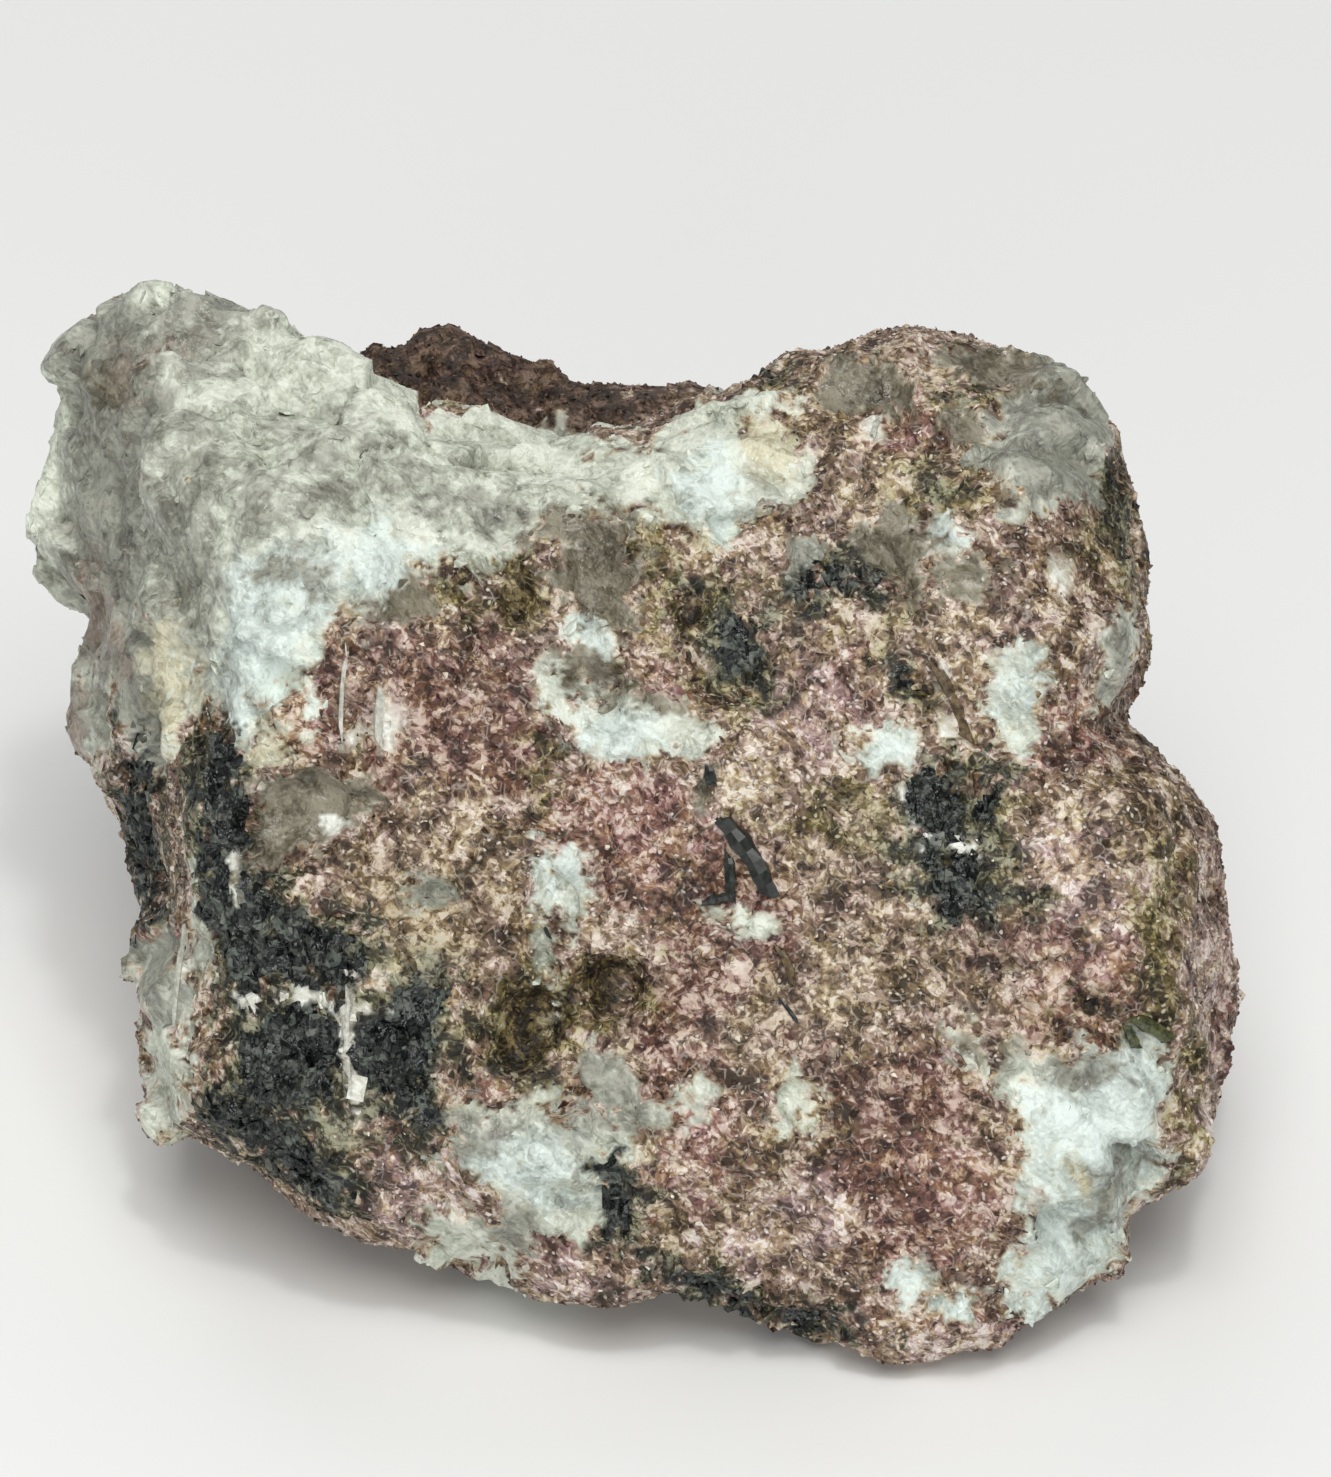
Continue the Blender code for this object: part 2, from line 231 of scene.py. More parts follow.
# %% Patches seen on the showing face
PATCHES = {
    "tan": [
        (14, 4.5, 8, 4.5), (-19, -7.5, 8, 5.5), (6, -37.5, 9, 5.5), (29, 21, 6, 4.5), (47, -2, 6, 5),
        (20, -14, 9, 5, -15), (-22, 1.5, 6, 3.5), (24, 36, 5, 4),
    ],
    "brown": [
        (20, 43.5, 10, 6), (31, 37, 5, 3.5), (-20.5, -8.5, 9, 4.6), (-26, -2, 5, 3), (12, -19, 6, 4, -30),
        (31, -13, 9, 4, -10), (-8, 1.5, 6, 3), (19, -4, 5, 3), (47.5, 29, 4, 7), (20, -31, 8, 5),
        (40, -18, 6, 3.5), (13.5, 22.5, 5, 4), (5, -39, 7, 4), (24, 17.5, 5, 2.5), (50, 3, 4, 6),
        (-16, 8, 5, 3), (30, -30, 5, 5), (-13, -14, 6, 3), (26.5, 44, 6, 4),
    ],
    "rose": [
        (-32, 14, 6.5, 4.5), (-20, 17, 5.5, 3.5), (0.5, -0.5, 8.5, 6), (45, 10, 5, 3.5),
        (2.5, 17, 2.5, 4.5), (6, -28, 4, 9), (-24, -35.5, 8, 3.5, -10), (-7, -44, 6.5, 3),
        (32, -50, 9, 3), (26.5, -37, 10, 8), (44, -13, 7, 7), (18, 13, 9, 4, 10), (27, 41, 5, 4.5),
        (-15, -26, 6, 3), (58, -20, 3, 16),
    ],
    "maroon": [
        (-14, 9.5, 6.5, 6), (25, -26.5, 7.5, 4.5), (10, -7.5, 5, 6), (22, -37, 5, 6), (5.5, -16, 5, 5),
        (-27.5, 9, 2.2, 5), (-53.5, 21.5, 3, 5, 10), (-46.3, -11.5, 1.7, 6.5), (57.5, -24, 2.4, 12),
        (36, -12, 5, 3, -35), (-30, 15, 4, 3), (-22, 17, 5, 3), (-23, 12, 5, 4.5),
    ],
    "blush": [
        (-24, -37.5, 8, 3.2, -15), (-6, -45, 8, 2.8, 5), (56.5, -16, 3, 10), (57, -31, 3, 7),
        (30, -50.5, 9, 2, 5), (-30, -40, 5, 2.4, -30), (15.5, 11.5, 7, 5), (-23, -35, 8, 4.6, -10),
        (15, -39, 6, 4), (43, -5, 5, 6),
    ],
    "olive": [
        (-13.5, 24.5, 4.2, 5.6), (-19, 24, 1.8, 2.4), (1.5, 26, 11.5, 2, -69), (7.5, 21.5, 4.2, 8, 15),
        (9.5, 12.5, 1.7, 1.7), (13, 44.5, 2.2, 1.7), (33.5, 43, 4, 3), (-11, -20.5, 5.5, 7),
        (-3.3, -16.3, 3.6, 3.4), (32.8, -1, 6.4, 8), (28.5, 14, 2.6, 2.6), (52.5, -12.5, 3, 10),
        (54.6, -29, 1.3, 8), (-18.5, -20, 2.4, 3.4), (-25.5, -12.5, 4.2, 2.6), (47, 31, 3, 7.5),
        (21, 1.5, 5, 2.6), (-9.5, 6, 1.6, 2.6), (-41, 3, 3.4, 8), (-2.5, -36, 3.2, 5),
        (8, -45.5, 7, 2.4, -20), (18, 26, 4, 2.4), (28, 33.5, 4.5, 2.5), (24, 20, 2.4, 2),
    ],
    "moss": [
        (-42.5, 5, 4, 7), (-44, -3, 3, 6), (-38.5, -29, 8.5, 4.5, -32), (-27, -15.5, 6, 2.6),
        (-29, -27.5, 6, 2.2), (-40, -18, 3, 6), (33.5, -2, 4.6, 7), (-2.5, -33.5, 3, 3.4),
        (-11.5, -21, 3.4, 4.6), (8, 20.5, 3.6, 4.2), (6, 25, 2.2, 2.2), (8, -46, 6.5, 2.2, -20),
        (-34, -35.5, 5.5, 2.4, -30), (20, 25.5, 3.6, 2.2), (27.8, 14.6, 2.2, 1.6), (14.5, 45.5, 2.4, 1.6),
        (33.5, 42.5, 3, 2.6), (48, 33, 2.4, 5), (29, 34, 2, 1.4),
    ],
    "umber": [
        (-11.3, -19.6, 2.6, 4.6, 8), (-3.8, -15.4, 3, 2.8), (-12.6, 23, 1.5, 2.3), (-10.5, -27, 2, 1.2),
        (29.5, 14.5, 1.3, 1), (5, 22, 1.1, 1.6), (49, 36, 1.6, 2.4), (-28.5, 9.5, 0.9, 3.4),
        (36.5, -14, 4.2, 0.5, -48), (45.5, -17.5, 4, 0.5, -40), (-9.6, -17.2, 2.2, 0.8, 20),
        (-13, 45.6, 12, 0.5, 2),
    ],
    "quartz": [
        (-37, 43, 14, 14), (-39, 28, 8.5, 17), (-24, 36, 16, 7.5, -22), (-11, 37.3, 12.5, 5.2, -12),
        (4, 35, 8.5, 5.5), (9, 41.8, 6.5, 2.6, 18), (-28.5, 28.5, 8, 6), (-38, 20, 4.6, 7),
        (-47, 29, 5, 9), (-53, 42, 9, 13), (-59, 36, 6, 15), (-53, 26, 8, 12), (-47.5, 14, 4, 8),
        (-55, 12, 4, 5), (-47.8, -20, 3.6, 11, 2), (-44.3, -9.5, 1.2, 6.5), (-4.3, 18.5, 2.6, 3.2),
        (-1.3, 10, 7, 4), (-6.5, 14.5, 2.6, 2.6), (47.5, 17.8, 3.8, 4.8), (37.8, 13.5, 3, 5, 12),
        (24.8, 7.5, 4.2, 2.4), (-8.8, -4.6, 2.5, 3.4, -18), (-6.9, -7.6, 1.5, 2.2, 20),
        (-9.4, -13, 0.9, 2.4), (10.5, -8.6, 2.7, 1.6), (-12, -30.6, 8.5, 3, -8),
        (-2.5, -29.4, 7.5, 1.8, 4), (-2.5, -24.5, 3.2, 3.2), (-9, -36.4, 5.4, 5.4),
        (-17, -41.5, 4.4, 3, -35), (45.5, -31, 8, 10.5, -8), (43, -42, 6, 5), (48, -26.5, 4.6, 6.5),
        (50, -32.5, 3.2, 6.5), (-6, -32, 6, 2.2), (40, -25.5, 4.4, 3.2), (27, -45.3, 1.9, 1.8),
        (31.7, -47.7, 2.4, 1.8), (39.3, -47.3, 2.4, 2.2), (-46, 52.5, 12, 6), (15.5, -27.5, 1.8, 2.8),
        (6.5, -26.5, 1.7, 1.8), (37.5, 31.5, 1.5, 1.2), (30.5, 29.5, 3, 2.4), (12, 35, 4, 3),
        (33, -22, 4, 1.8),
    ],
    "ice": [
        (-38.3, 17.5, 3.8, 8.5, -12), (-36, 25, 5.5, 5), (45.5, -31, 7, 9.5, -8), (43, -41, 5, 4.5),
        (-8.5, -35, 3, 3.6), (49.5, -31.5, 2.8, 6.5), (-12, -32.5, 6, 2.6), (38, 14, 1.6, 2.6),
        (-2.5, 9.2, 4.4, 2.4), (24.8, 7.5, 2.6, 1.4), (-8.8, -4.4, 1.6, 2.2), (-27, 27, 4, 3),
        (-4.5, 18.6, 1.8, 2.4), (29.5, 30, 2.4, 1.6), (7, 34, 4.5, 3), (27, -45.3, 1.6, 1.5),
        (31.7, -47.7, 2, 1.5), (39.3, -47.3, 2, 1.8),
    ],
    "cream": [
        (-46.5, 13.5, 1.8, 5.2, -8), (-48, 18, 1.6, 4, -16), (-37.5, 8.2, 2.2, 1.4),
        (43, -34, 1.2, 2.4, 25), (12.5, 38, 2, 3),
    ],
    # grey: grey-green translucent quartz, and painted shade: the left flank and slanting bands in the lobe
    # are painted grey where less light falls.
    "grey_quartz_and_shade": [
        (-53, 43, 7, 14), (-53, 27, 8, 13), (-46.5, 26, 3, 12, 8), (-44.5, 52.5, 4, 2), (-44, 47, 3, 2.4),
        (-46, 40, 4, 2.6), (-49.5, 14.5, 4.5, 9), (-56, 12, 4, 5), (-44.5, 33, 2.6, 12, 8),
        (41.5, 38.5, 9, 5.8, 38), (43.5, 43, 7, 4.4, -40), (-47.8, -14, 3, 6), (-44, 51.5, 5, 2.6),
        (-20, 43.5, 7, 2, -18), (-8, 40.5, 8, 1.6, -10), (-16, 32.5, 6, 2.4, -15), (-35, 26, 4, 2, -30),
        (-31, 34, 5, 2.2, 20), (-2.5, -24.3, 3.2, 3), (-46, 22.5, 2.6, 5.5), (-21, -6, 2.4, 2),
        (-45.5, 56, 7, 2.2), (16.5, 27.5, 2, 1.6), (-16, -30.5, 4, 1.8), (-3, -29.2, 5, 1.5),
        (-13, -40, 3, 2.4), (-33.5, 38.5, 4.5, 1.6, -52), (-38, 33, 5, 1.8, -50),
        (-28, 40, 3.4, 1.4, -40), (47.5, 17.8, 2.4, 3.4), (43, -24, 3, 1.6), (47, -36, 2, 4, -20),
    ],
    "rust": [
        (-54.6, 23, 1.8, 5, 10), (-51.8, 17.5, 2.2, 2.8), (-57.5, 10, 2, 4.6), (-26.4, 21.6, 1, 1.6),
        (-47.5, 47.5, 1.6, 1), (-52, 45, 1.6, 3),
    ],
    "smoky": [
        (-34, 2.8, 5.6, 3.8), (-37.5, -2, 2.8, 2), (-6.5, 30, 5.2, 3.2), (-3.5, 24.5, 4.6, 3.2),
        (-1.5, 21, 1.7, 2), (-5, 15.8, 3.3, 1.5, -25), (2.2, 12.7, 2.8, 1.1, -20), (22.5, 44.2, 4, 3.4),
        (35.5, 46.4, 6, 2.4, -18), (32, 40, 2.6, 3.2), (25, 28, 3.7, 4), (32.5, 25.6, 3.4, 2.1),
        (-23.9, 23.2, 2.9, 2.3), (33, -21.8, 3.4, 1.2), (7, 4.8, 0.8, 1.8), (-53.5, 44, 1.6, 2.4),
    ],
    "schorl": [
        (-41.8, 2, 2.4, 7), (-49.8, 0, 2.3, 9.5), (-40.5, -8.5, 3.3, 4.6), (-36, -13, 6.2, 3.4),
        (-34.8, -22.5, 6.2, 5.4), (-23.9, -22.2, 4.3, 7), (-36, -31.8, 8, 4, -34),
        (-41.5, -28.5, 3.6, 2.6, -30), (29.5, 2, 2.5, 4), (32.5, -4.5, 2.7, 3.6), (34.5, 2.5, 1, 2.6),
        (9.8, 19, 2.3, 2), (20.5, 25.2, 2.2, 1.4), (16.8, 24.5, 1.1, 1.3), (7.5, -45.8, 5.6, 1.7, -20),
        (17, -49.2, 2.6, 0.9), (-2.5, -37, 2, 4.2), (27.2, 14.8, 1.2, 1),
    ],
    "seam_and_glint": [
        (-25.6, 11.6, 0.7, 2.7), (-29.5, 13.5, 0.5, 4.4), (-29, -21.5, 0.6, 5, 5),
        # The patch at (42.2, 25.8) is a painted glint: a white spot where light glints off the rock. The
        # others are white seams.
        (-34, -17, 4.4, 0.42, -4), (-31, 1, 1.2, 1.2), (42.2, 25.8, 1.1, 1.4), (26.5, 3.5, 0.3, 2, 15),
        (31.5, -1, 2.4, 0.4, -20), (-40.5, -5.5, 0.4, 2.4), (-45.8, -16, 0.5, 5, 4), (23.5, 40, 0.5, 1.6),
        (30.5, 13, 0.4, 2.8),
    ],
}
LAYERS = list(PATCHES)
print("patches:", sum(len(spots) for spots in PATCHES.values()))

# %% Where each patch sits on the block
PATCH_DEPTH = 1.6
PULL_IN = 0.985


def seen_at(u, v):
    """The place on the block that the photo shows at (u, v), in mm."""
    for _ in range(12):
        target = from_face(u, v, 0.0)
        hit = sight_tree.ray_cast(Vector(eye), Vector(target - eye).normalized())[0]
        if hit is not None:
            return np.array(hit)
        u, v = u * PULL_IN, v * PULL_IN
    return np.array(sight_tree.find_nearest(Vector(target))[0])


def face_patch(u, v, width, height, turn=0):
    """A patch as (middle, axes, reach): an ellipsoid that goes well into the rock."""
    c, s = math.cos(math.radians(turn)), math.sin(math.radians(turn))
    axes = np.array([c * RIGHT + s * UP_FACE, -s * RIGHT + c * UP_FACE, OUT_FACE])
    depth = PATCH_DEPTH * math.sqrt(width * height) + 2.0
    return seen_at(u, v), axes, np.array([width, height, depth])


patches = {layer: [face_patch(*spot) for spot in spots] for layer, spots in PATCHES.items()}

# %% [markdown]
# The photo shows nothing of the back, the far side and the underside. The same rock goes on there, so random
# patches of the same minerals and sizes are laid over those places, with one seed, and the milky lobe and the
# dark knob are carried round to the back. The knob is dark red-brown tourmaline, painted darker still as
# painted shade, since it lies in shade behind the saddle. Every patch of black schorl has a wider mossy one
# under it, as the photo shows.

# %% Patches on the hidden sides
HIDDEN_SHARES = {
    "tan": 20, "brown": 16, "rose": 22, "maroon": 14, "blush": 12, "olive": 16, "moss": 6, "umber": 5,
    "quartz": 15, "ice": 8, "cream": 5, "grey_quartz_and_shade": 10, "rust": 6, "smoky": 12, "schorl": 9, "seam_and_glint": 6,
}
HIDDEN_SIZES = {
    "tan": (4, 9), "brown": (3, 9), "rose": (4, 10), "maroon": (3, 8), "blush": (3, 8),
    "olive": (2, 6), "moss": (2, 6), "umber": (1, 3), "quartz": (2, 10), "ice": (2, 6),
    "cream": (2, 5), "grey_quartz_and_shade": (2, 7), "rust": (1.5, 5), "smoky": (1.5, 5), "schorl": (1.5, 6),
    "seam_and_glint": (0.5, 3),
}
HIDDEN_FACING = -0.25
rng = np.random.default_rng(75)


def hidden_patches(layer):
    """Patches of one mineral at random places that the photo doesn't show."""
    away = np.flatnonzero((outward @ OUT_FACE < HIDDEN_FACING) | (points[:, 1] > 30.0))
    for start in rng.choice(away, HIDDEN_SHARES[layer], replace=False):
        low, high = HIDDEN_SIZES[layer]
        wide = rng.uniform(low, high)
        slim = max(0.5, wide * rng.uniform(0.35, 0.9))
        facing = Vector(outward[start])
        spin = Quaternion(facing, rng.uniform(0.0, math.pi))
        along = spin @ facing.orthogonal().normalized()
        axes = np.array([along, facing.cross(along), facing])
        yield points[start], axes, np.array([wide, slim, wide + 2.0])


for layer in HIDDEN_SHARES:
    patches[layer] += list(hidden_patches(layer))
for middle, axes, reach in patches["schorl"]:
    patches["moss"].append((middle, axes, 1.25 * reach + 1.0))
FLAT_AXES = np.array([RIGHT, UP_FACE, OUT_FACE])
patches["quartz"].append((from_face(-44.0, 36.0, -26.0), FLAT_AXES, np.array([22.0, 24.0, 20.0])))
# The knob: dark red-brown tourmaline whose tones also carry painted shade.
patches["knob"] = [(seen_at(u, v), FLAT_AXES, np.array(reach)) for u, v, reach in (
    (-15.0, 47.5, (15.0, 6.5, 13.0)), (-2.0, 43.3, (8.0, 3.4, 9.0)), (-20.0, 47.5, (10.0, 7.5, 10.0)))]
LAYERS.insert(LAYERS.index("smoky"), "knob")
print("patches with the hidden sides:", sum(len(found) for found in patches.values()))

# %% [markdown]
# Minerals never meet along a clean curve. Before the patches are read, each place is shifted a
# little by smooth noise at two sizes, which makes every border wander.

# %% How deep every place lies in each mineral
FAR_OUTSIDE = -6.0


def field(places, size, seed=0):
    """Smooth noise from about -1 to 1 at each place, with lumps `size` mm across."""
    shift = Vector((31.7, 11.3, 53.9)) * (seed + 1)
    return np.array([noise.noise(Vector(p) + shift) for p in places / size])


def wandering(places):
    """A shift for each place: two sizes of noise, up to three millimetres in all."""
    shifts = [3.4 * field(places, 7.0, axis) + 2.2 * field(places, 2.6, axis + 3) for axis in range(3)]
    return np.stack(shifts, axis=1)


def depth_in(places, shifts, spots):
    """Depth in mm inside the nearest of the patches, below 0 outside. Small patches wander less."""
    best = np.full(len(places), FAR_OUTSIDE)
    for middle, axes, reach in spots:
        gain = min(1.0, 0.12 + min(reach[0], reach[1]) / 4.5)
        share = np.linalg.norm((places + gain * shifts - middle) @ axes.T / reach, axis=1)
        best = np.maximum(best, min(reach[0], reach[1]) * (1.0 - share))
    return best


def depths(places):
    """Depth in every layer, by its name."""
    shifts = wandering(places)
    return {layer: depth_in(places, shifts, patches[layer]) for layer in LAYERS}


skin_depths = depths(points)
for layer in LAYERS:
    print(layer, round(100.0 * float((skin_depths[layer] > 0).mean()), 1), "% of the skin")

# %% The skin is thinned where grains will cover it
FLAKY = ("quartz", "ice", "grey_quartz_and_shade", "smoky", "cream")
THINNED = 0.47
bare = np.max([skin_depths[layer] for layer in (*FLAKY, "schorl")], axis=0) > -1.2
thick = bpy.data.objects.new("thick", skin_mesh)
bpy.context.scene.collection.objects.link(thick)
covered = thick.vertex_groups.new(name="covered")
covered.add(np.flatnonzero(~bare).tolist(), 1.0, "REPLACE")
covered.add(np.flatnonzero(bare).tolist(), 0.03, "REPLACE")
thinner = thick.modifiers.new("thinner", "DECIMATE")
thinner.ratio = THINNED
thinner.vertex_group = "covered"
skin_mesh = applied(thick)
skin_mesh.calc_loop_triangles()
print("skin after thinning:", len(skin_mesh.loop_triangles), "triangles")
points = mesh_points(skin_mesh)
outward = mesh_directions(skin_mesh)
skin_depths = depths(points)

# %% [markdown]
# ## Relief of the skin
#
# Each mineral breaks in its own way. Quartz parts along curved ledges, so its cells of skin are
# tilted flat flakes. Schorl breaks into small steps. The sugary tourmaline is lumpy. The dark
# pockets and the smoky quartz lie a little lower than the rest, and white seams stand proud. A few
# pushes at the rim, each seen at `(u, v)` with a heading, a reach and a distance in millimetres, bring
# the outline to the photo's.

# %% Flakes, lumps and pockets
SLAB_DIP = math.radians(55.0)
PUSHES = [
    (-59.5, 46.5, 180, 7.0, 1.7), (-61.0, 31.5, 180, 10.0, 1.5), (-58.5, 12.5, 180, 6.0, 0.9),
    (-57.0, 21.0, 180, 5.0, -1.4), (-44.0, 54.6, 90, 7.0, -0.6), (7.0, 45.0, 90, 9.0, -1.0),
    (17.3, 48.6, 90, 9.0, -0.6), (50.5, 30.0, 0, 13.0, -0.7), (49.0, 11.0, 0, 8.5, -2.2),
    (52.5, -39.5, -40, 7.5, -3.2),
]


def smooth_step(x):
    """0 below 0, 1 above 1, and a soft rise between."""
    x = np.clip(x, 0.0, 1.0)
    return x * x * (3.0 - 2.0 * x)


def share_of(layer, soft=1.0):
    """0 to 1: how much of the skin belongs to a layer, with a border `soft` mm wide."""
    return smooth_step(skin_depths[layer] / soft + 0.5)


def flakes(places, size, tilt, ledge, seed):
    """Height of flat flakes: every cell has a tilt of its own, with a step between two cells."""
    draws = np.random.default_rng(seed)
    low, high = places.min(axis=0) - size, places.max(axis=0) + size
    grid = np.stack(np.meshgrid(*[np.arange(a, b, size) for a, b in zip(low, high)]), axis=-1)
    middles = grid.reshape(-1, 3) + draws.uniform(-0.45, 0.45, (grid.size // 3, 3)) * size
    slopes = draws.normal(0.0, tilt, middles.shape)
    tree = kdtree.KDTree(len(middles))
    for index, middle in enumerate(middles):
        tree.insert(middle, index)
    tree.balance()
    nearest = [tree.find_n(p, 2) for p in places]
    index = np.array([[found[1] for found in pair] for pair in nearest])
    away = np.array([[found[2] for found in pair] for pair in nearest])
    share = np.exp((away[:, :1] - away) / ledge)
    heights = ((places[:, None] - middles[index]) * slopes[index]).sum(axis=2)
    return (heights * share).sum(axis=1) / share.sum(axis=1)


def slabbed(places):
    """Coordinates squeezed along the quartz's slabs, so that flakes become long slabs there."""
    c, s = math.cos(SLAB_DIP), math.sin(SLAB_DIP)
    along = places[:, 0] * c - places[:, 2] * s
    across = places[:, 0] * s + places[:, 2] * c
    return np.stack([along * 0.5, places[:, 1], across], axis=1)


clear = np.max([share_of(layer) for layer in FLAKY], axis=0)
black = share_of("schorl")
grainy = (1.0 - clear) * (1.0 - black)
slabs = slabbed(points)
height = 0.35 * field(points, 9.0, 7)
height += clear * (flakes(slabs, 6.0, 0.30, 0.20, 5) + flakes(slabs, 2.6, 0.15, 0.18, 6))
height += black * (flakes(points, 3.0, 0.26, 0.15, 8) + rng.normal(0.0, 0.06, len(points)))
height += grainy * (0.45 * field(points, 3.6, 9) + 0.30 * field(points, 1.7, 10))
height += grainy * flakes(points, 7.0, 0.12, 0.4, 12)
height -= 0.5 * share_of("smoky", 2.0) + 0.3 * black
height -= 1.8 * share_of("umber", 2.5)
height += 0.25 * share_of("seam_and_glint", 0.6)
height = height.clip(-2.4, 1.8)
calm = smooth_step((points[:, 2] - 0.2) / 2.0)
places = points + outward * (height * calm)[:, None]
seen = points - eye
seen = eye + seen * (VIEW_DISTANCE / -(seen @ OUT_FACE))[:, None] - FACE_ORIGIN
for u, v, heading, reach, push in PUSHES:
    away = np.hypot(seen @ RIGHT - u, seen @ UP_FACE - v)
    towards = math.cos(math.radians(heading)) * RIGHT + math.sin(math.radians(heading)) * UP_FACE
    places += (push * calm * smooth_step(1.0 - away / reach))[:, None] * towards
skin_mesh.vertices.foreach_set("co", (places * MM).astype(np.float32).ravel())
skin_mesh.update()
points = mesh_points(skin_mesh)
outward = mesh_directions(skin_mesh)
skin_depths = depths(points)
print("relief from", round(height.min(), 2), "to", round(height.max(), 2), "mm")

# %% [markdown]
# ## Shader helpers
#
# The finishes are node materials. These helpers add one node each and hand back its output, so that a
# material can be written as a sum. Colours are written as in a paint program, from 0 to 255, and
# turned into the linear values that Blender wants.

# %% Small tools for node trees
def paint(red, green, blue):
    """A colour from 0 to 255 as Blender's linear red, green, blue and alpha."""
    share = np.array([red, green, blue]) / 255.0
    linear = np.where(share <= 0.04045, share / 12.92, ((share + 0.055) / 1.055) ** 2.4)
    return (*linear.tolist(), 1.0)


def add(tree, kind, values=None, **settings):
    """A new node with its settings, and values or links for its inputs."""
    node = tree.nodes.new(kind)
    for name, value in settings.items():
        setattr(node, name, value)
    for name, value in (values or {}).items():
        if isinstance(value, bpy.types.NodeSocket):
            tree.links.new(value, node.inputs[name])
        else:
            node.inputs[name].default_value = value
    return node


def sums(tree, operation, first, second=0.0, third=0.0):
    """The result of one Math node."""
    return add(tree, "ShaderNodeMath", {0: first, 1: second, 2: third}, operation=operation).outputs[0]


def mixed(tree, share, first, second):
    """One colour over another."""
    node = add(tree, "ShaderNodeMix", data_type="RGBA")
    for place, value in ((0, share), (6, first), (7, second)):
        if isinstance(value, bpy.types.NodeSocket):
            tree.links.new(value, node.inputs[place])
        else:
            node.inputs[place].default_value = value
    return node.outputs[2]


def between(tree, value, low, high):
    """0 below low, 1 above high."""
    return add(tree, "ShaderNodeMapRange", {0: value, 1: low, 2: high}).outputs[0]


def cloud(tree, vector, size, detail=2.0, rough=0.5):
    """Noise with lumps `size` mm across."""
    values = {"Vector": vector, "Scale": 1.0 / (size * MM), "Detail": detail, "Roughness": rough}
    return add(tree, "ShaderNodeTexNoise", values).outputs["Fac"]


def cells(tree, vector, size, feature="F1"):
    """A Voronoi node with cells `size` mm across."""
    values = {"Vector": vector, "Scale": 1.0 / (size * MM)}
    return add(tree, "ShaderNodeTexVoronoi", values, feature=feature)


# %% [markdown]
# ## The tones at every place
#
# Every mineral has three tones, from dark core to pale cleavage. Each point of the skin and each grain stores
# the three tones of its place: the minerals are laid over each other from pink to seams by their depths
# there, and noise shifts every border so that it breaks up. A few grains are painted near white instead, as
# painted glints of light. `kinds` stores how much of the place is quartz, how much is schorl, and how bright
# this grain is.

# %% Three tones for each mineral, and how ragged and wide its border is
TONES = {
    "pink": ((56, 43, 34), (132, 113, 99), (218, 207, 194)),
    "tan": ((66, 55, 42), (147, 132, 114), (226, 217, 202)),
    "brown": ((48, 38, 27), (110, 94, 75), (200, 187, 166)),
    "rose": ((62, 42, 36), (136, 104, 95), (214, 197, 186)),
    "maroon": ((48, 31, 26), (106, 77, 68), (196, 176, 163)),
    "blush": ((80, 66, 63), (162, 142, 136), (230, 220, 213)),
    "olive": ((42, 37, 18), (104, 95, 64), (190, 181, 148)),
    "moss": ((20, 21, 15), (56, 56, 42), (150, 149, 126)),
    "umber": ((20, 16, 9), (52, 43, 24), (120, 108, 72)),
    # knob: dark red-brown, made darker as painted shade for the knob behind the saddle.
    "knob": ((34, 25, 20), (68, 53, 44), (122, 102, 87)),
    "quartz": ((118, 118, 104), (180, 184, 168), (220, 224, 210)),
    "ice": ((134, 140, 131), (188, 198, 191), (222, 233, 227)),
    # grey: grey-green quartz tones, used also as painted shade on the left flank and in the lobe.
    "grey_quartz_and_shade": ((84, 82, 72), (124, 124, 113), (164, 165, 152)),
    "cream": ((112, 104, 78), (176, 170, 142), (214, 210, 184)),
    "rust": ((76, 61, 50), (124, 110, 97), (168, 157, 144)),
    "smoky": ((58, 51, 38), (94, 88, 72), (138, 132, 115)),
    "schorl": ((7, 9, 10), (19, 22, 22), (108, 114, 106)),
    # seam: white seam tones, also used for one painted glint.
    "seam_and_glint": ((158, 152, 138), (204, 203, 190), (234, 236, 228)),
}
TONES = {layer: np.array([paint(*tone)[:3] for tone in tones]) for layer, tones in TONES.items()}
BORDERS = {
    "tan": (2.2, 0.8), "brown": (2.2, 0.8), "rose": (2.2, 0.8), "maroon": (2.2, 0.8), "blush": (2.0, 0.8),
    "olive": (1.6, 0.8), "moss": (1.6, 0.8), "umber": (0.8, 0.8), "ice": (1.2, 2.4), "grey_quartz_and_shade": (1.2, 2.4),
    "cream": (1.0, 1.6), "rust": (1.0, 1.6), "smoky": (0.8, 0.8), "clear": (0.75, 0.5),
    "knob": (0.8, 0.4), "schorl": (0.75, 0.4), "seam_and_glint": (0.35, 0.3),
}
SUGARY = ("tan", "brown", "rose", "maroon", "blush", "olive", "moss", "umber")
CLEAR = ("quartz", "ice", "grey_quartz_and_shade", "cream", "rust", "smoky")
# Painted glint: the near-white colour given to a few grains, standing for light glinting off their faces.
PAINTED_GLINT = np.array(paint(230, 221, 206)[:3])
PAINTED_GLINT_SHARE = 0.9


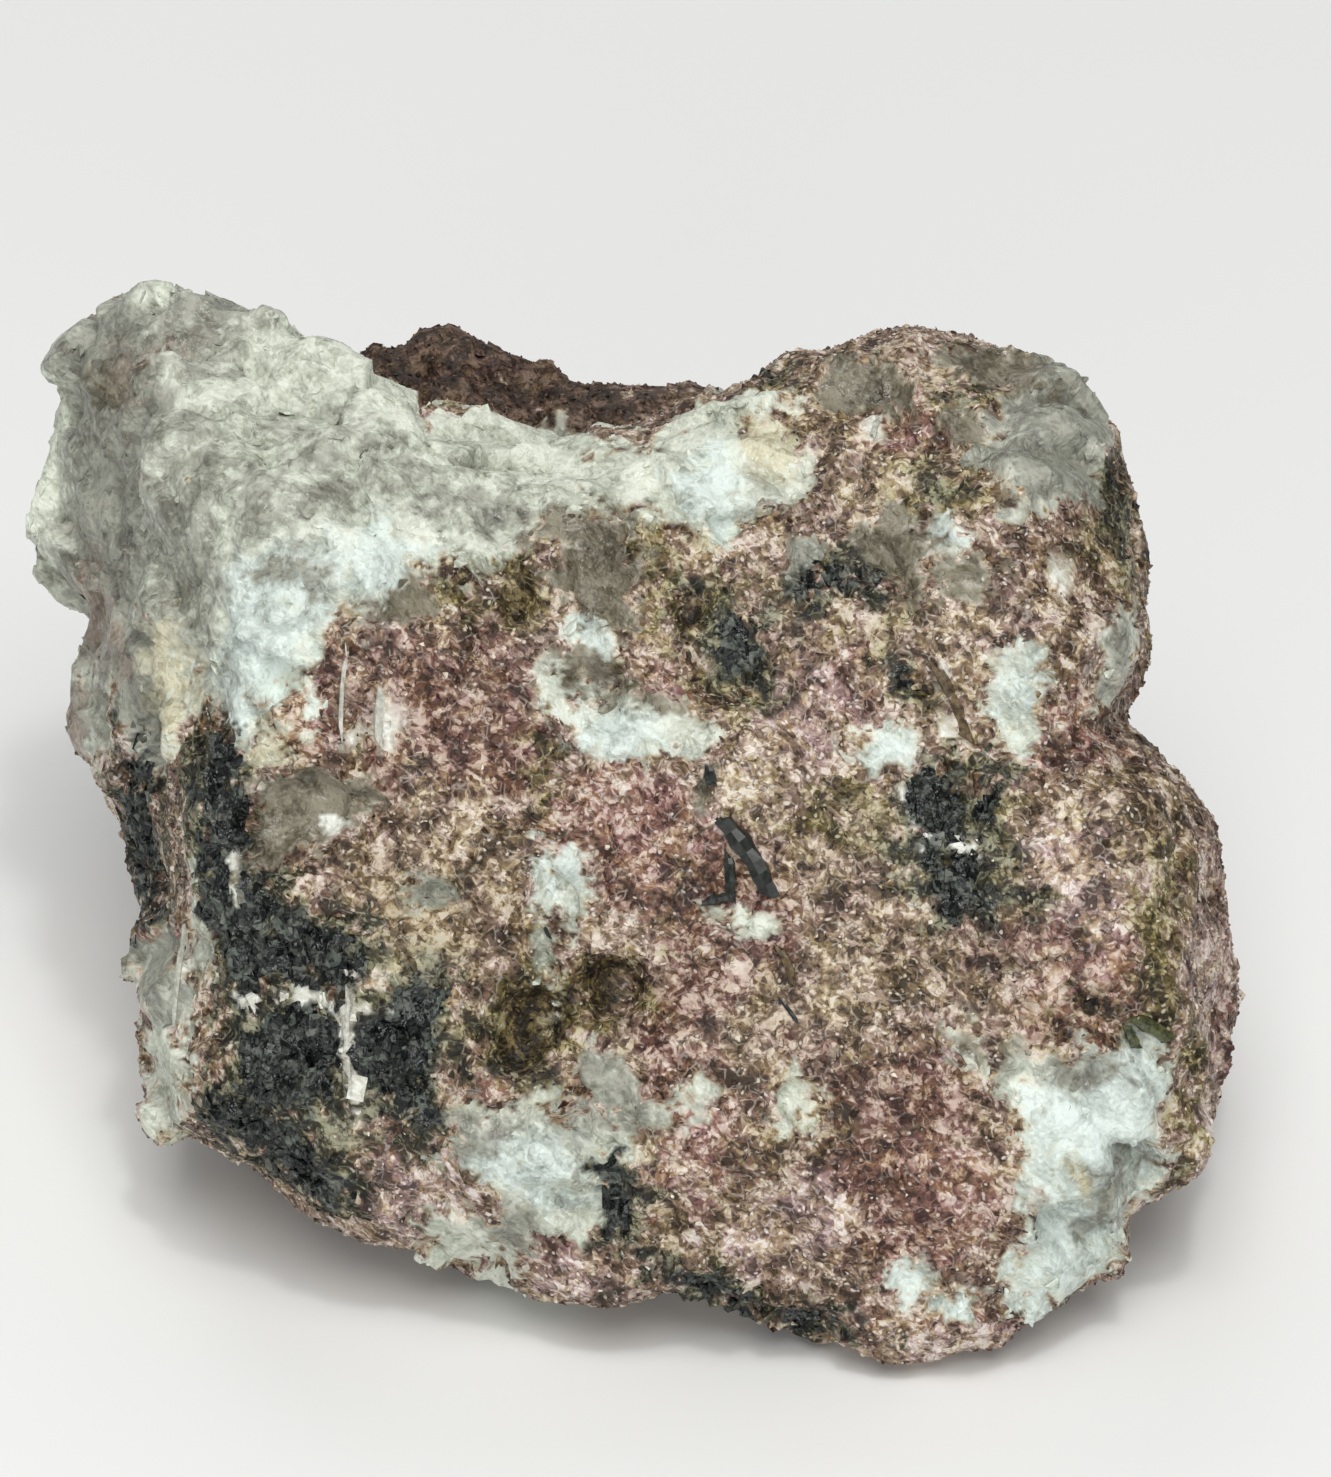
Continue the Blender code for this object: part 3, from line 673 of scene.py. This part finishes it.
def stored_tones(places, found, own=0.0, painted_glint=0.0):
    """The attributes that the material reads at each place, from the depths found there."""
    count = len(places)
    shift = 1.6 * field(places, 2.2, 20) + 1.6 * field(places, 1.0, 21)
    shift += np.random.default_rng(count).uniform(-0.6, 0.6, count)
    found = {**found, "clear": np.max([found[layer] for layer in CLEAR], axis=0)}
    share = {layer: np.clip((found[layer] + ragged * shift) / width + 0.5, 0.0, 1.0)
             for layer, (ragged, width) in BORDERS.items()}

    def over(under, layer, tones):
        return under + share[layer][:, None, None] * (tones - under)

    sugar = np.repeat(TONES["pink"][None], count, axis=0)
    for layer in SUGARY:
        sugar = over(sugar, layer, TONES[layer])
    quartz = np.repeat(TONES["quartz"][None], count, axis=0)
    for layer in CLEAR[1:]:
        quartz = over(quartz, layer, TONES[layer])
    tones = over(sugar, "clear", quartz)
    clear = share["clear"] * (1.0 - share["knob"]) * (1.0 - share["schorl"])
    for layer in ("knob", "schorl", "seam_and_glint"):
        tones = over(tones, layer, TONES[layer])
    # Painted glint: grains chosen as glints are mixed towards the near-white glint colour and made shiny like
    # quartz.
    painted_glint = PAINTED_GLINT_SHARE * np.broadcast_to(painted_glint, count)
    tones = tones + painted_glint[:, None, None] * (PAINTED_GLINT - tones)
    clear = np.maximum(clear, np.maximum(share["seam_and_glint"], painted_glint))
    black = share["schorl"] * (1.0 - share["seam_and_glint"])
    kinds = np.stack([clear, black, np.broadcast_to(own, count)], axis=1)
    return {"dark": tones[:, 0], "middle": tones[:, 1], "pale": tones[:, 2], "kinds": kinds}


def store(mesh, name, values, kind="FLOAT_VECTOR"):
    """A named attribute at each point of a mesh."""
    field_name, number = ("value", np.int32) if kind == "INT" else ("vector", np.float32)
    made = mesh.attributes.new(name, kind, "POINT")
    made.data.foreach_set(field_name, np.asarray(values, number).ravel())


for name, values in stored_tones(points, skin_depths).items():
    store(skin_mesh, name, values)

# %% [markdown]
# ## One finish for the whole rock
#
# The skin and everything that grows on it share one material. A pattern picks one of the three stored tones:
# for sugary tourmaline from single grains, lumps and clusters of them, for quartz from broken plates and
# slanting streaks, for schorl from splinters. Over them lie thin pale lines between grains, partly pale
# cleavage and partly painted edge glints, bright specks that are painted glints, and dark crack lines that
# are painted shade.

# %% Patterns
def warped(tree, vector, size, reach):
    """The vector pushed about by noise with lumps `size` mm across, by at most half of `reach` mm."""
    stir = add(tree, "ShaderNodeTexNoise", {"Vector": vector, "Scale": 1.0 / (size * MM), "Detail": 0.0})
    values = {0: stir.outputs["Color"], 1: (0.5, 0.5, 0.5)}
    stir = add(tree, "ShaderNodeVectorMath", values, operation="SUBTRACT")
    stir = add(tree, "ShaderNodeVectorMath", {0: stir.outputs[0], "Scale": reach * MM}, operation="SCALE")
    return add(tree, "ShaderNodeVectorMath", {0: vector, 1: stir.outputs[0]}, operation="ADD").outputs[0]


def leaned(tree, vector, angle, stretch):
    """Coordinates that stretch a pattern along a direction `angle` degrees down to the right."""
    values = {"Vector": vector, "Rotation": (0.0, math.radians(angle), 0.0), "Scale": (stretch, 1.0, 1.0)}
    return add(tree, "ShaderNodeMapping", values, vector_type="TEXTURE").outputs[0]


def draws_of(tree, node):
    """The three random values of each Voronoi cell, on the outputs Red, Green and Blue."""
    return add(tree, "ShaderNodeSeparateColor", {"Color": node.outputs["Color"]}).outputs


def lighter(tree, colour, value):
    """The colour with its brightness times a value."""
    return add(tree, "ShaderNodeHueSaturation", {"Color": colour, "Value": value}).outputs[0]


def blend(tree, share, first, second):
    """One number over another."""
    return add(tree, "ShaderNodeMix", {0: share, 2: first, 3: second}, data_type="FLOAT").outputs[0]


def summed(tree, start, *parts):
    """A start plus each part's value times its weight."""
    for value, weight in parts:
        start = sums(tree, "MULTIPLY_ADD", value, weight, start)
    return start


SUGAR_SHINE = 0.55
QUARTZ_SHINE = 0.2
BUMP_HEIGHT = 0.25

skin_paint = bpy.data.materials.new("rock_skin")
skin_paint.use_nodes = True
tree = skin_paint.node_tree
surface = tree.nodes["Principled BSDF"]
place = add(tree, "ShaderNodeTexCoord").outputs["Object"]
dark, middle, pale = [add(tree, "ShaderNodeAttribute", attribute_name=name).outputs["Color"]
                      for name in ("dark", "middle", "pale")]
kinds = add(tree, "ShaderNodeAttribute", attribute_name="kinds").outputs["Vector"]
clear, black, own = add(tree, "ShaderNodeSeparateXYZ", {"Vector": kinds}).outputs
hard = sums(tree, "ADD", clear, black)
stirred = warped(tree, place, 1.4, 0.9)
flaky = leaned(tree, stirred, 42.0, 1.2)
crumbs = cells(tree, flaky, 0.45)
crumb = draws_of(tree, crumbs)
lump = draws_of(tree, cells(tree, flaky, 1.2))
plate = draws_of(tree, cells(tree, leaned(tree, stirred, 55.0, 2.6), 2.6))
cluster = between(tree, cloud(tree, flaky, 2.3, 3.0, 0.7), 0.36, 0.64)
broad = between(tree, cloud(tree, place, 6.0, 1.0, 0.6), 0.36, 0.64)
hues = cloud(tree, place, 3.2, 3.0, 0.7)
patchy = cloud(tree, place, 0.9, 1.0)
along_slabs = leaned(tree, place, 48.0, 5.0)
streaks = between(tree, cloud(tree, along_slabs, 0.9, 2.0, 0.65), 0.36, 0.64)

# %% The tone
sugar = summed(tree, -0.62, (crumb["Red"], 0.58), (lump["Green"], 0.46), (cluster, 0.76), (broad, 0.34))
quartz = summed(tree, -0.10, (streaks, 0.24), (plate["Red"], 0.38), (lump["Red"], 0.30),
                (crumb["Green"], 0.38), (broad, 0.34))
schorl = summed(tree, 0.04, (lump["Red"], 0.48), (crumb["Red"], 0.48))
tone = blend(tree, black, blend(tree, clear, sugar, quartz), schorl)
tone = sums(tree, "ADD", tone, own)
colour = mixed(tree, between(tree, tone, 0.0, 0.5), dark, middle)
colour = mixed(tree, between(tree, tone, 0.5, 1.0), colour, pale)

# %% Ochre and rose leanings of the tourmaline, pale rims with painted edge glints, painted glint specks and painted crack shade
lean = summed(tree, 0.0, (between(tree, hues, 0.40, 0.60), 0.55), (crumb["Blue"], 0.45))
tinge = mixed(tree, lean, (1.0, 0.93, 0.56, 1.0), (1.04, 0.91, 1.04, 1.0))
untinged = sums(tree, "MAXIMUM", between(tree, tone, 0.60, 1.10), hard)
tinge = mixed(tree, untinged, tinge, (1.0, 1.0, 1.0, 1.0))
tinted = add(tree, "ShaderNodeMix", {0: 1.0, 6: colour, 7: tinge}, data_type="RGBA", blend_type="MULTIPLY")
# Painted shade: thin lines in the tourmaline get a tone darker than its darkest, standing for the shade
# inside fine cracks.
painted_crack_shade = between(tree, sums(tree, "ABSOLUTE", sums(tree, "SUBTRACT", hues, 0.5)), 0.024, 0.0)
painted_crack_shade = sums(tree, "MULTIPLY", painted_crack_shade, between(tree, patchy, 0.42, 0.56))
painted_crack_shade = sums(tree, "MULTIPLY", painted_crack_shade, summed(tree, 0.75, (hard, -0.75)))
colour = mixed(tree, painted_crack_shade, tinted.outputs[2], lighter(tree, dark, 0.55))
# Pale lines along grain edges: partly the pale cleavage of the grains and partly painted edge glints.
pale_rim_and_glint = between(tree, cells(tree, flaky, 1.15, "DISTANCE_TO_EDGE").outputs["Distance"], 0.09, 0.0)
pale_rim_and_glint = sums(tree, "MULTIPLY", pale_rim_and_glint, between(tree, patchy, 0.46, 0.60))
pale_rim_and_glint = sums(tree, "MULTIPLY", pale_rim_and_glint, summed(tree, 0.42, (hard, -0.20)))
colour = mixed(tree, pale_rim_and_glint, colour, pale)
# Painted glints: a few grain cells get a brighter pale tone, standing for light glinting off them.
painted_glint_speck = sums(tree, "MULTIPLY", sums(tree, "GREATER_THAN", crumb["Green"], 0.90),
             between(tree, crumbs.outputs["Distance"], 0.50, 0.30))
painted_glint_speck = sums(tree, "MULTIPLY", painted_glint_speck, summed(tree, 0.70, (hard, -0.45)))
colour = mixed(tree, painted_glint_speck, colour, lighter(tree, pale, 1.12))
shine = blend(tree, hard, SUGAR_SHINE, summed(tree, QUARTZ_SHINE, (lump["Red"], 0.35)))
bump = add(tree, "ShaderNodeBump", {
    "Height": cloud(tree, place, 0.5, 1.0), "Distance": BUMP_HEIGHT * MM, "Strength": 0.8})
tree.links.new(colour, surface.inputs["Base Color"])
tree.links.new(shine, surface.inputs["Roughness"])
tree.links.new(bump.outputs["Normal"], surface.inputs["Normal"])
surface.inputs["Specular IOR Level"].default_value = 0.32

# %% The skin as a piece
skin = bpy.data.objects.new("rock_skin", skin_mesh)
bpy.context.scene.collection.objects.link(skin)
skin_mesh.materials.clear()
skin_mesh.materials.append(skin_paint)
skin_mesh.polygons.foreach_set("use_smooth", [True] * len(skin_mesh.polygons))
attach(skin, "root")
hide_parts("tourmaline_rock")

# %% [markdown]
# ## Grains, chips and blocks
#
# The sugary look comes from real grains. A Geometry Nodes tree spreads seeds over the skin, never
# closer together than a set gap. Python then reads which mineral each seed lies in, and a second tree
# puts a shape on every seed and turns all of them into one mesh.

# %% Seeds on the skin
def modifier_tree(name):
    """An empty Geometry Nodes tree with one input and one output of geometry."""
    made = bpy.data.node_groups.new(name, "GeometryNodeTree")
    made.interface.new_socket("Geometry", in_out="INPUT", socket_type="NodeSocketGeometry")
    made.interface.new_socket("Geometry", in_out="OUTPUT", socket_type="NodeSocketGeometry")
    return made, made.nodes.new("NodeGroupInput").outputs[0], made.nodes.new("NodeGroupOutput").inputs[0]


def through_nodes(mesh, tree):
    """The mesh that the tree makes of this one."""
    held = bpy.data.objects.new("held", mesh)
    bpy.context.scene.collection.objects.link(held)
    held.modifiers.new("nodes", "NODES").node_group = tree
    return applied(held)


def seeds_on_skin(gap, seed):
    """Places in mm and outward directions of seeds at least `gap` mm apart."""
    made, inside, outside = modifier_tree("spread")
    values = {"Mesh": inside, "Distance Min": gap * MM, "Density Max": 4.0 / (gap * MM) ** 2, "Seed": seed}
    spots = add(made, "GeometryNodeDistributePointsOnFaces", values, distribute_method="POISSON")
    values = {"Geometry": spots.outputs["Points"], "Name": "facing", "Value": spots.outputs["Normal"]}
    kept = add(made, "GeometryNodeStoreNamedAttribute", values, data_type="FLOAT_VECTOR")
    corners = add(made, "GeometryNodePointsToVertices", {"Points": kept.outputs[0]})
    made.links.new(corners.outputs[0], outside)
    mesh = through_nodes(skin_mesh, made)
    facing = np.empty(len(mesh.vertices) * 3, np.float32)
    mesh.attributes["facing"].data.foreach_get("vector", facing)
    return mesh_points(mesh), facing.reshape(-1, 3).astype(float)


GRAIN_GAP = 0.76
LOWEST_GRAIN = 1.6
seeds, facing = seeds_on_skin(GRAIN_GAP, 3)
kept = seeds[:, 2] > LOWEST_GRAIN
seeds, facing = seeds[kept], facing[kept]
print("seeds:", len(seeds))

# %% Base shapes
def shard(corners, stretch, seed):
    """A broken grain: the hull of a few corners near a ball, with a reach of about 1."""
    draws = np.random.default_rng(seed)
    bm = bmesh.new()
    for corner in draws.normal(size=(corners, 3)):
        corner *= draws.uniform(0.82, 1.0) / np.linalg.norm(corner)
        bm.verts.new(Vector(corner * np.array(stretch)))
    hull = bmesh.ops.convex_hull(bm, input=bm.verts)
    spare = {v for v in hull["geom_interior"] + hull["geom_unused"] if isinstance(v, bmesh.types.BMVert)}
    bmesh.ops.delete(bm, geom=list(spare), context="VERTS")
    return bm


def cut_block(seed):
    """A block with a few slanting breaks, as black tourmaline parts: reach about 1 along z."""
    draws = np.random.default_rng(seed)
    bm = bmesh.new()
    bmesh.ops.create_cube(bm, size=2.0)
    bmesh.ops.scale(bm, vec=(0.55, 0.5, 1.0), verts=bm.verts)
    for away in (0.42, 0.45, 0.62):
        slant = Vector(draws.normal(size=3) * np.array([1.0, 1.0, 0.7])).normalized()
        whole = bm.verts[:] + bm.edges[:] + bm.faces[:]
        bmesh.ops.bisect_plane(bm, geom=whole, plane_co=slant * away, plane_no=slant, clear_outer=True)
        bmesh.ops.holes_fill(bm, edges=[edge for edge in bm.edges if edge.is_boundary])
    return bm


def shape_set(name, shapes):
    """A collection of base shapes, in the order of their names."""
    group = bpy.data.collections.new(name)
    for number, bm in enumerate(shapes):
        mesh = bpy.data.meshes.new(f"{name}_{number:02d}")
        bm.to_mesh(mesh)
        bm.free()
        group.objects.link(bpy.data.objects.new(mesh.name, mesh))
    return group


SHARDS = shape_set("shards", [shard(9, (1.0, 0.85, 0.8), 20 + n) for n in range(10)])
CHIPS = shape_set("chips", [shard(12, (1.0, 0.8, 0.42), 40 + n) for n in range(8)])
BLOCKS = shape_set("blocks", [cut_block(60 + n) for n in range(8)])

# %% Shapes on seeds
def grown(name, shapes, spots):
    """One mesh with a shape on each spot. Spots have places, turns, sizes and stored values."""
    mesh = bpy.data.meshes.new(name)
    mesh.from_pydata((spots["places"] * MM).tolist(), [], [])
    draws = np.random.default_rng(len(mesh.vertices))
    store(mesh, "pick", draws.integers(0, len(shapes.objects), len(mesh.vertices)), "INT")
    store(mesh, "turn", spots["turns"])
    store(mesh, "size", spots["sizes"] * MM)
    for label in ("dark", "middle", "pale", "kinds"):
        store(mesh, label, spots[label])
    made, inside, outside = modifier_tree("grow")
    picked = add(made, "GeometryNodeCollectionInfo", {"Collection": shapes, "Separate Children": True})
    read = {}
    for attribute, kind in (("pick", "INT"), ("turn", "FLOAT_VECTOR"), ("size", "FLOAT_VECTOR")):
        values = {"Name": attribute}
        read[attribute] = add(made, "GeometryNodeInputNamedAttribute", values, data_type=kind).outputs[0]
    values = {"Points": inside, "Instance": picked.outputs[0], "Pick Instance": True,
              "Instance Index": read["pick"], "Rotation": read["turn"], "Scale": read["size"]}
    placed = add(made, "GeometryNodeInstanceOnPoints", values)
    real = add(made, "GeometryNodeRealizeInstances", {"Geometry": placed.outputs[0]})
    made.links.new(real.outputs[0], outside)
    return through_nodes(mesh, made)


def as_piece(name, mesh, finish):
    """The mesh as a visible piece of the rock."""
    mesh.materials.clear()
    mesh.materials.append(finish)
    piece = bpy.data.objects.new(name, mesh)
    bpy.context.scene.collection.objects.link(piece)
    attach(piece, "root")
    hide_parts("tourmaline_rock")
    mesh.calc_loop_triangles()
    print(name, len(mesh.loop_triangles), "triangles")


MOST_TRIANGLES = 190000


def add_pieces(name, shapes, spots):
    """The grown mesh as one piece, or as a few when it would be too large for one."""
    count = len(spots["places"])
    each = max(len(shape.data.loop_triangles) for shape in shapes.objects)
    parts = math.ceil(count * each / MOST_TRIANGLES)
    order = np.argsort(spots["places"][:, 0], kind="stable")
    for number, rows in enumerate(np.array_split(order, parts)):
        label = name if parts == 1 else f"{name}_{number + 1}"
        some = {key: values[rows] for key, values in spots.items()}
        as_piece(label, grown(label, shapes, some), skin_paint)


for shapes in (SHARDS, CHIPS, BLOCKS):
    for shape in shapes.objects:
        shape.data.calc_loop_triangles()

# %% [markdown]
# Each seed takes the mineral of the topmost layer that reaches it. A random shift at every seed mixes
# the grains of two minerals along their border.

# %% The mineral of each seed
SHIFTS = {
    "tan": 2.2, "brown": 2.2, "rose": 2.2, "maroon": 2.2, "blush": 2.2, "olive": 1.4, "moss": 1.6,
    "umber": 0.5, "knob": 0.8, "quartz": 0.5, "ice": 0.5, "cream": 0.8, "grey_quartz_and_shade": 0.5, "rust": 0.5,
    "smoky": 0.4, "schorl": 0.6, "seam_and_glint": 0.2,
}
rng = np.random.default_rng(11)
seed_depths = depths(seeds)
mineral = np.full(len(seeds), "pink", dtype=object)
for layer in LAYERS:
    shifted = seed_depths[layer] + rng.normal(0.0, SHIFTS[layer], len(seeds))
    mineral[shifted > 0.1] = layer
for layer in ["pink"] + LAYERS:
    print(layer, int((mineral == layer).sum()), "seeds")

# %% Sugar grains
GRAIN_REACH = 0.52
GRAIN_SUNK = 0.35
PAINTED_GLINT_RATE = 0.03
BRIGHTNESS_SPREAD = 0.14


def random_turns(count):
    """Turns in all directions."""
    spins = rng.normal(size=(count, 4))
    return np.array([Quaternion(s).normalized().to_euler()[:] for s in spins])


def values_of(rows, own, painted_glint):
    """What the material reads on each grain."""
    return stored_tones(seeds[rows], {layer: found[rows] for layer, found in seed_depths.items()}, own, painted_glint)


names = mineral.astype(str)
rows = np.flatnonzero(np.isin(names, ("pink", *SUGARY, "knob")))
# A few grains get the painted glint colour, and are made smaller.
painted_glint = (rng.random(len(rows)) < PAINTED_GLINT_RATE) & ~np.isin(names[rows], ("knob", "moss", "umber"))
reach = GRAIN_REACH * rng.lognormal(0.0, 0.34, len(rows)).clip(0.5, 2.2) * np.where(painted_glint, 0.7, 1.0)
own = rng.normal(0.0, BRIGHTNESS_SPREAD, len(rows))
grains = {
    "places": seeds[rows] - facing[rows] * (reach * GRAIN_SUNK)[:, None],
    "turns": random_turns(len(rows)),
    "sizes": reach[:, None] * rng.uniform(0.75, 1.25, (len(rows), 3)),
    **values_of(rows, own, painted_glint),
}
# maroon_grains also holds the knob's grains, whose dark tones carry painted shade.
FAMILIES = {"pink_grains": ("pink",), "tan_grains": ("tan", "brown"), "rose_grains": ("rose", "blush"),
            "maroon_grains": ("maroon", "knob"), "olive_grains": ("olive", "moss", "umber")}
for family, members in FAMILIES.items():
    these = np.flatnonzero(np.isin(names[rows], members))
    add_pieces(family, SHARDS, {key: values[these] for key, values in grains.items()})

# %% Quartz chips
CHIP_SHARE = 0.42
CHIP_REACH = 0.90
CHIP_SUNK = 0.36


def aligned_turns(directions, tilt, spin=None):
    """Turns that lay a shape's z axis along each direction, tilted a little, with a spin about it."""
    made = []
    for direction in directions:
        turn = Vector(direction + rng.normal(0.0, tilt, 3)).normalized().to_track_quat("Z", "Y")
        angle = rng.uniform(0.0, 2.0 * math.pi) if spin is None else spin + rng.normal(0.0, 0.2)
        made.append((turn @ Quaternion((0.0, 0.0, 1.0), angle)).to_euler()[:])
    return np.array(made)


pale = np.isin(names, (*CLEAR, "seam_and_glint"))
rows = np.flatnonzero(pale & (rng.random(len(seeds)) < CHIP_SHARE))
reach = CHIP_REACH * rng.lognormal(0.0, 0.38, len(rows)).clip(0.5, 2.6)
sizes = [reach, reach * rng.uniform(0.6, 1.0, len(rows)), reach * rng.uniform(0.5, 1.0, len(rows))]
sizes = np.stack(sizes, axis=1)
add_pieces("quartz_chips", CHIPS, {
    "places": seeds[rows] - facing[rows] * (sizes[:, 2] * CHIP_SUNK)[:, None],
    "turns": aligned_turns(facing[rows], 0.20), "sizes": sizes,
    **values_of(rows, np.zeros(len(rows)), np.zeros(len(rows))),
})

# %% Schorl blocks
BLOCK_REACH = 0.66
BLOCK_SUNK = 0.38
rows = np.flatnonzero(names == "schorl")
along = UP_FACE + 0.12 * RIGHT
directions = along - (facing[rows] @ along)[:, None] * facing[rows]
reach = BLOCK_REACH * rng.lognormal(0.0, 0.35, len(rows)).clip(0.5, 2.2)
add_pieces("schorl_blocks", BLOCKS, {
    "places": seeds[rows] - facing[rows] * (BLOCK_SUNK * reach)[:, None],
    "turns": aligned_turns(directions, 0.25, 0.3),
    "sizes": reach[:, None] * rng.uniform(0.8, 1.25, (len(rows), 3)),
    **values_of(rows, rng.normal(-0.05, 0.12, len(rows)), np.zeros(len(rows))),
})

# %% [markdown]
# ## Single crystals
#
# A few long crystals stand out in the photo: a slanting black one in the middle with two small ones
# under it, a brown one to the right of it, white blades at the left and a green prism at the lower
# right. Each is a ring of sides drawn out along its length, bent a little, and sunk into the skin.

# %% Single crystals
def skin_facing(spot, reach=4.0):
    """The mean outward direction of the skin near a place."""
    near = np.linalg.norm(points - spot, axis=1) < reach
    mean = outward[near].mean(axis=0)
    return mean / np.linalg.norm(mean)


def crystal_mesh(u, v, length, width, turn, bend, rise, tip, seed):
    """A long crystal seen at (u, v): `turn` is its direction, `rise` how far its axis stands out."""
    draws = np.random.default_rng(seed)
    spot = seen_at(u, v)
    facing_here = skin_facing(spot)
    along = math.cos(math.radians(turn)) * RIGHT + math.sin(math.radians(turn)) * UP_FACE
    along = along - (along @ facing_here) * facing_here
    along /= np.linalg.norm(along)
    across = np.cross(facing_here, along)
    bm = bmesh.new()
    bmesh.ops.create_cone(bm, cap_ends=True, segments=7, radius1=1.0, radius2=1.0, depth=2.0)
    long_edges = [edge for edge in bm.edges if abs(edge.verts[0].co.z - edge.verts[1].co.z) > 1.0]
    bmesh.ops.subdivide_edges(bm, edges=long_edges, cuts=7)
    ring_widths = draws.uniform(0.82, 1.12, 12)
    for vert in bm.verts:
        x, y, z = vert.co
        thin = 1.0 - (1.0 - tip) * max(0.0, -z) ** 2
        wide = width / 2 * thin * ring_widths[int((z + 1.0) * 4)] * (1.0 + 0.25 * noise.noise(vert.co * 2.3))
        end = 0.25 * x if abs(z) > 0.99 else 0.0
        local = (z + end) * length / 2 * along + (x * wide + bend * (1.0 - z * z)) * across
        vert.co = Vector((spot + local + (y * wide * 0.8 + rise) * facing_here) * MM)
    mesh = bpy.data.meshes.new("crystal")
    bm.to_mesh(mesh)
    bm.free()
    return mesh


def add_crystal(name, places, dark, pale, shine):
    """One piece of one or more crystals, with a finish mottled between a dark and a pale colour."""
    bm = bmesh.new()
    for row in places:
        bm.from_mesh(crystal_mesh(*row))
    mesh = bpy.data.meshes.new(name)
    bm.to_mesh(mesh)
    bm.free()
    finish = bpy.data.materials.new(name)
    finish.use_nodes = True
    tree = finish.node_tree
    place = add(tree, "ShaderNodeTexCoord").outputs["Object"]
    colour = mixed(tree, between(tree, cloud(tree, place, 0.7, 4.0, 0.7), 0.38, 0.68), dark, pale)
    tree.links.new(colour, tree.nodes["Principled BSDF"].inputs["Base Color"])
    tree.nodes["Principled BSDF"].inputs["Roughness"].default_value = shine
    as_piece(name, mesh, finish)


add_crystal("black_crystals", [
    (10.3, -2.4, 10.0, 2.1, -56, 0.5, 0.35, 0.5, 1), (8.9, -4.6, 4.6, 1.2, -86, 0.1, 0.1, 0.6, 2),
    (7.9, -7.0, 3.2, 1.1, 12, 0.1, 0.1, 0.6, 3), (15.0, -18.2, 3.2, 0.5, -55, 0.0, 0.05, 0.5, 4),
    (-9.6, -9.6, 2.6, 0.5, -66, 0.0, 0.1, 0.5, 5), (7.0, 5.4, 1.9, 1.3, -80, 0.0, 0.1, 0.6, 6),
], paint(15, 17, 15), paint(50, 54, 48), 0.34)
add_crystal("brown_crystal", [
    (31.0, 12.8, 8.2, 1.2, -66, 0.4, 0.0, 0.7, 7), (14.5, -13.6, 4.0, 0.9, -68, 0.3, 0.1, 0.6, 8),
], paint(50, 39, 23), paint(124, 104, 72), 0.4)
add_crystal("white_blades", [
    (-26.0, 11.4, 5.4, 0.9, 88, 0.1, 0.15, 0.95, 9), (-29.6, 13.6, 8.6, 0.5, 86, 0.2, 0.05, 0.9, 10),
    (-24.9, 12.4, 3.4, 0.5, 84, 0.0, 0.10, 0.9, 16),
    (-28.9, -21.0, 9.0, 0.7, 86, 0.3, 0.3, 0.6, 11), (-45.8, -15.0, 9.0, 0.8, 80, 0.4, 0.3, 0.6, 12),
    (23.6, 40.0, 3.4, 0.7, 84, 0.1, 0.3, 0.6, 13),
], paint(158, 158, 146), paint(216, 215, 205), 0.3)
add_crystal("green_crystal", [
    (50.8, -19.8, 4.8, 1.5, -28, 0.2, 0.45, 0.6, 14), (49.0, -20.6, 2.6, 1.2, -60, 0.0, 0.3, 0.6, 15),
], paint(34, 40, 20), paint(96, 98, 58), 0.3)
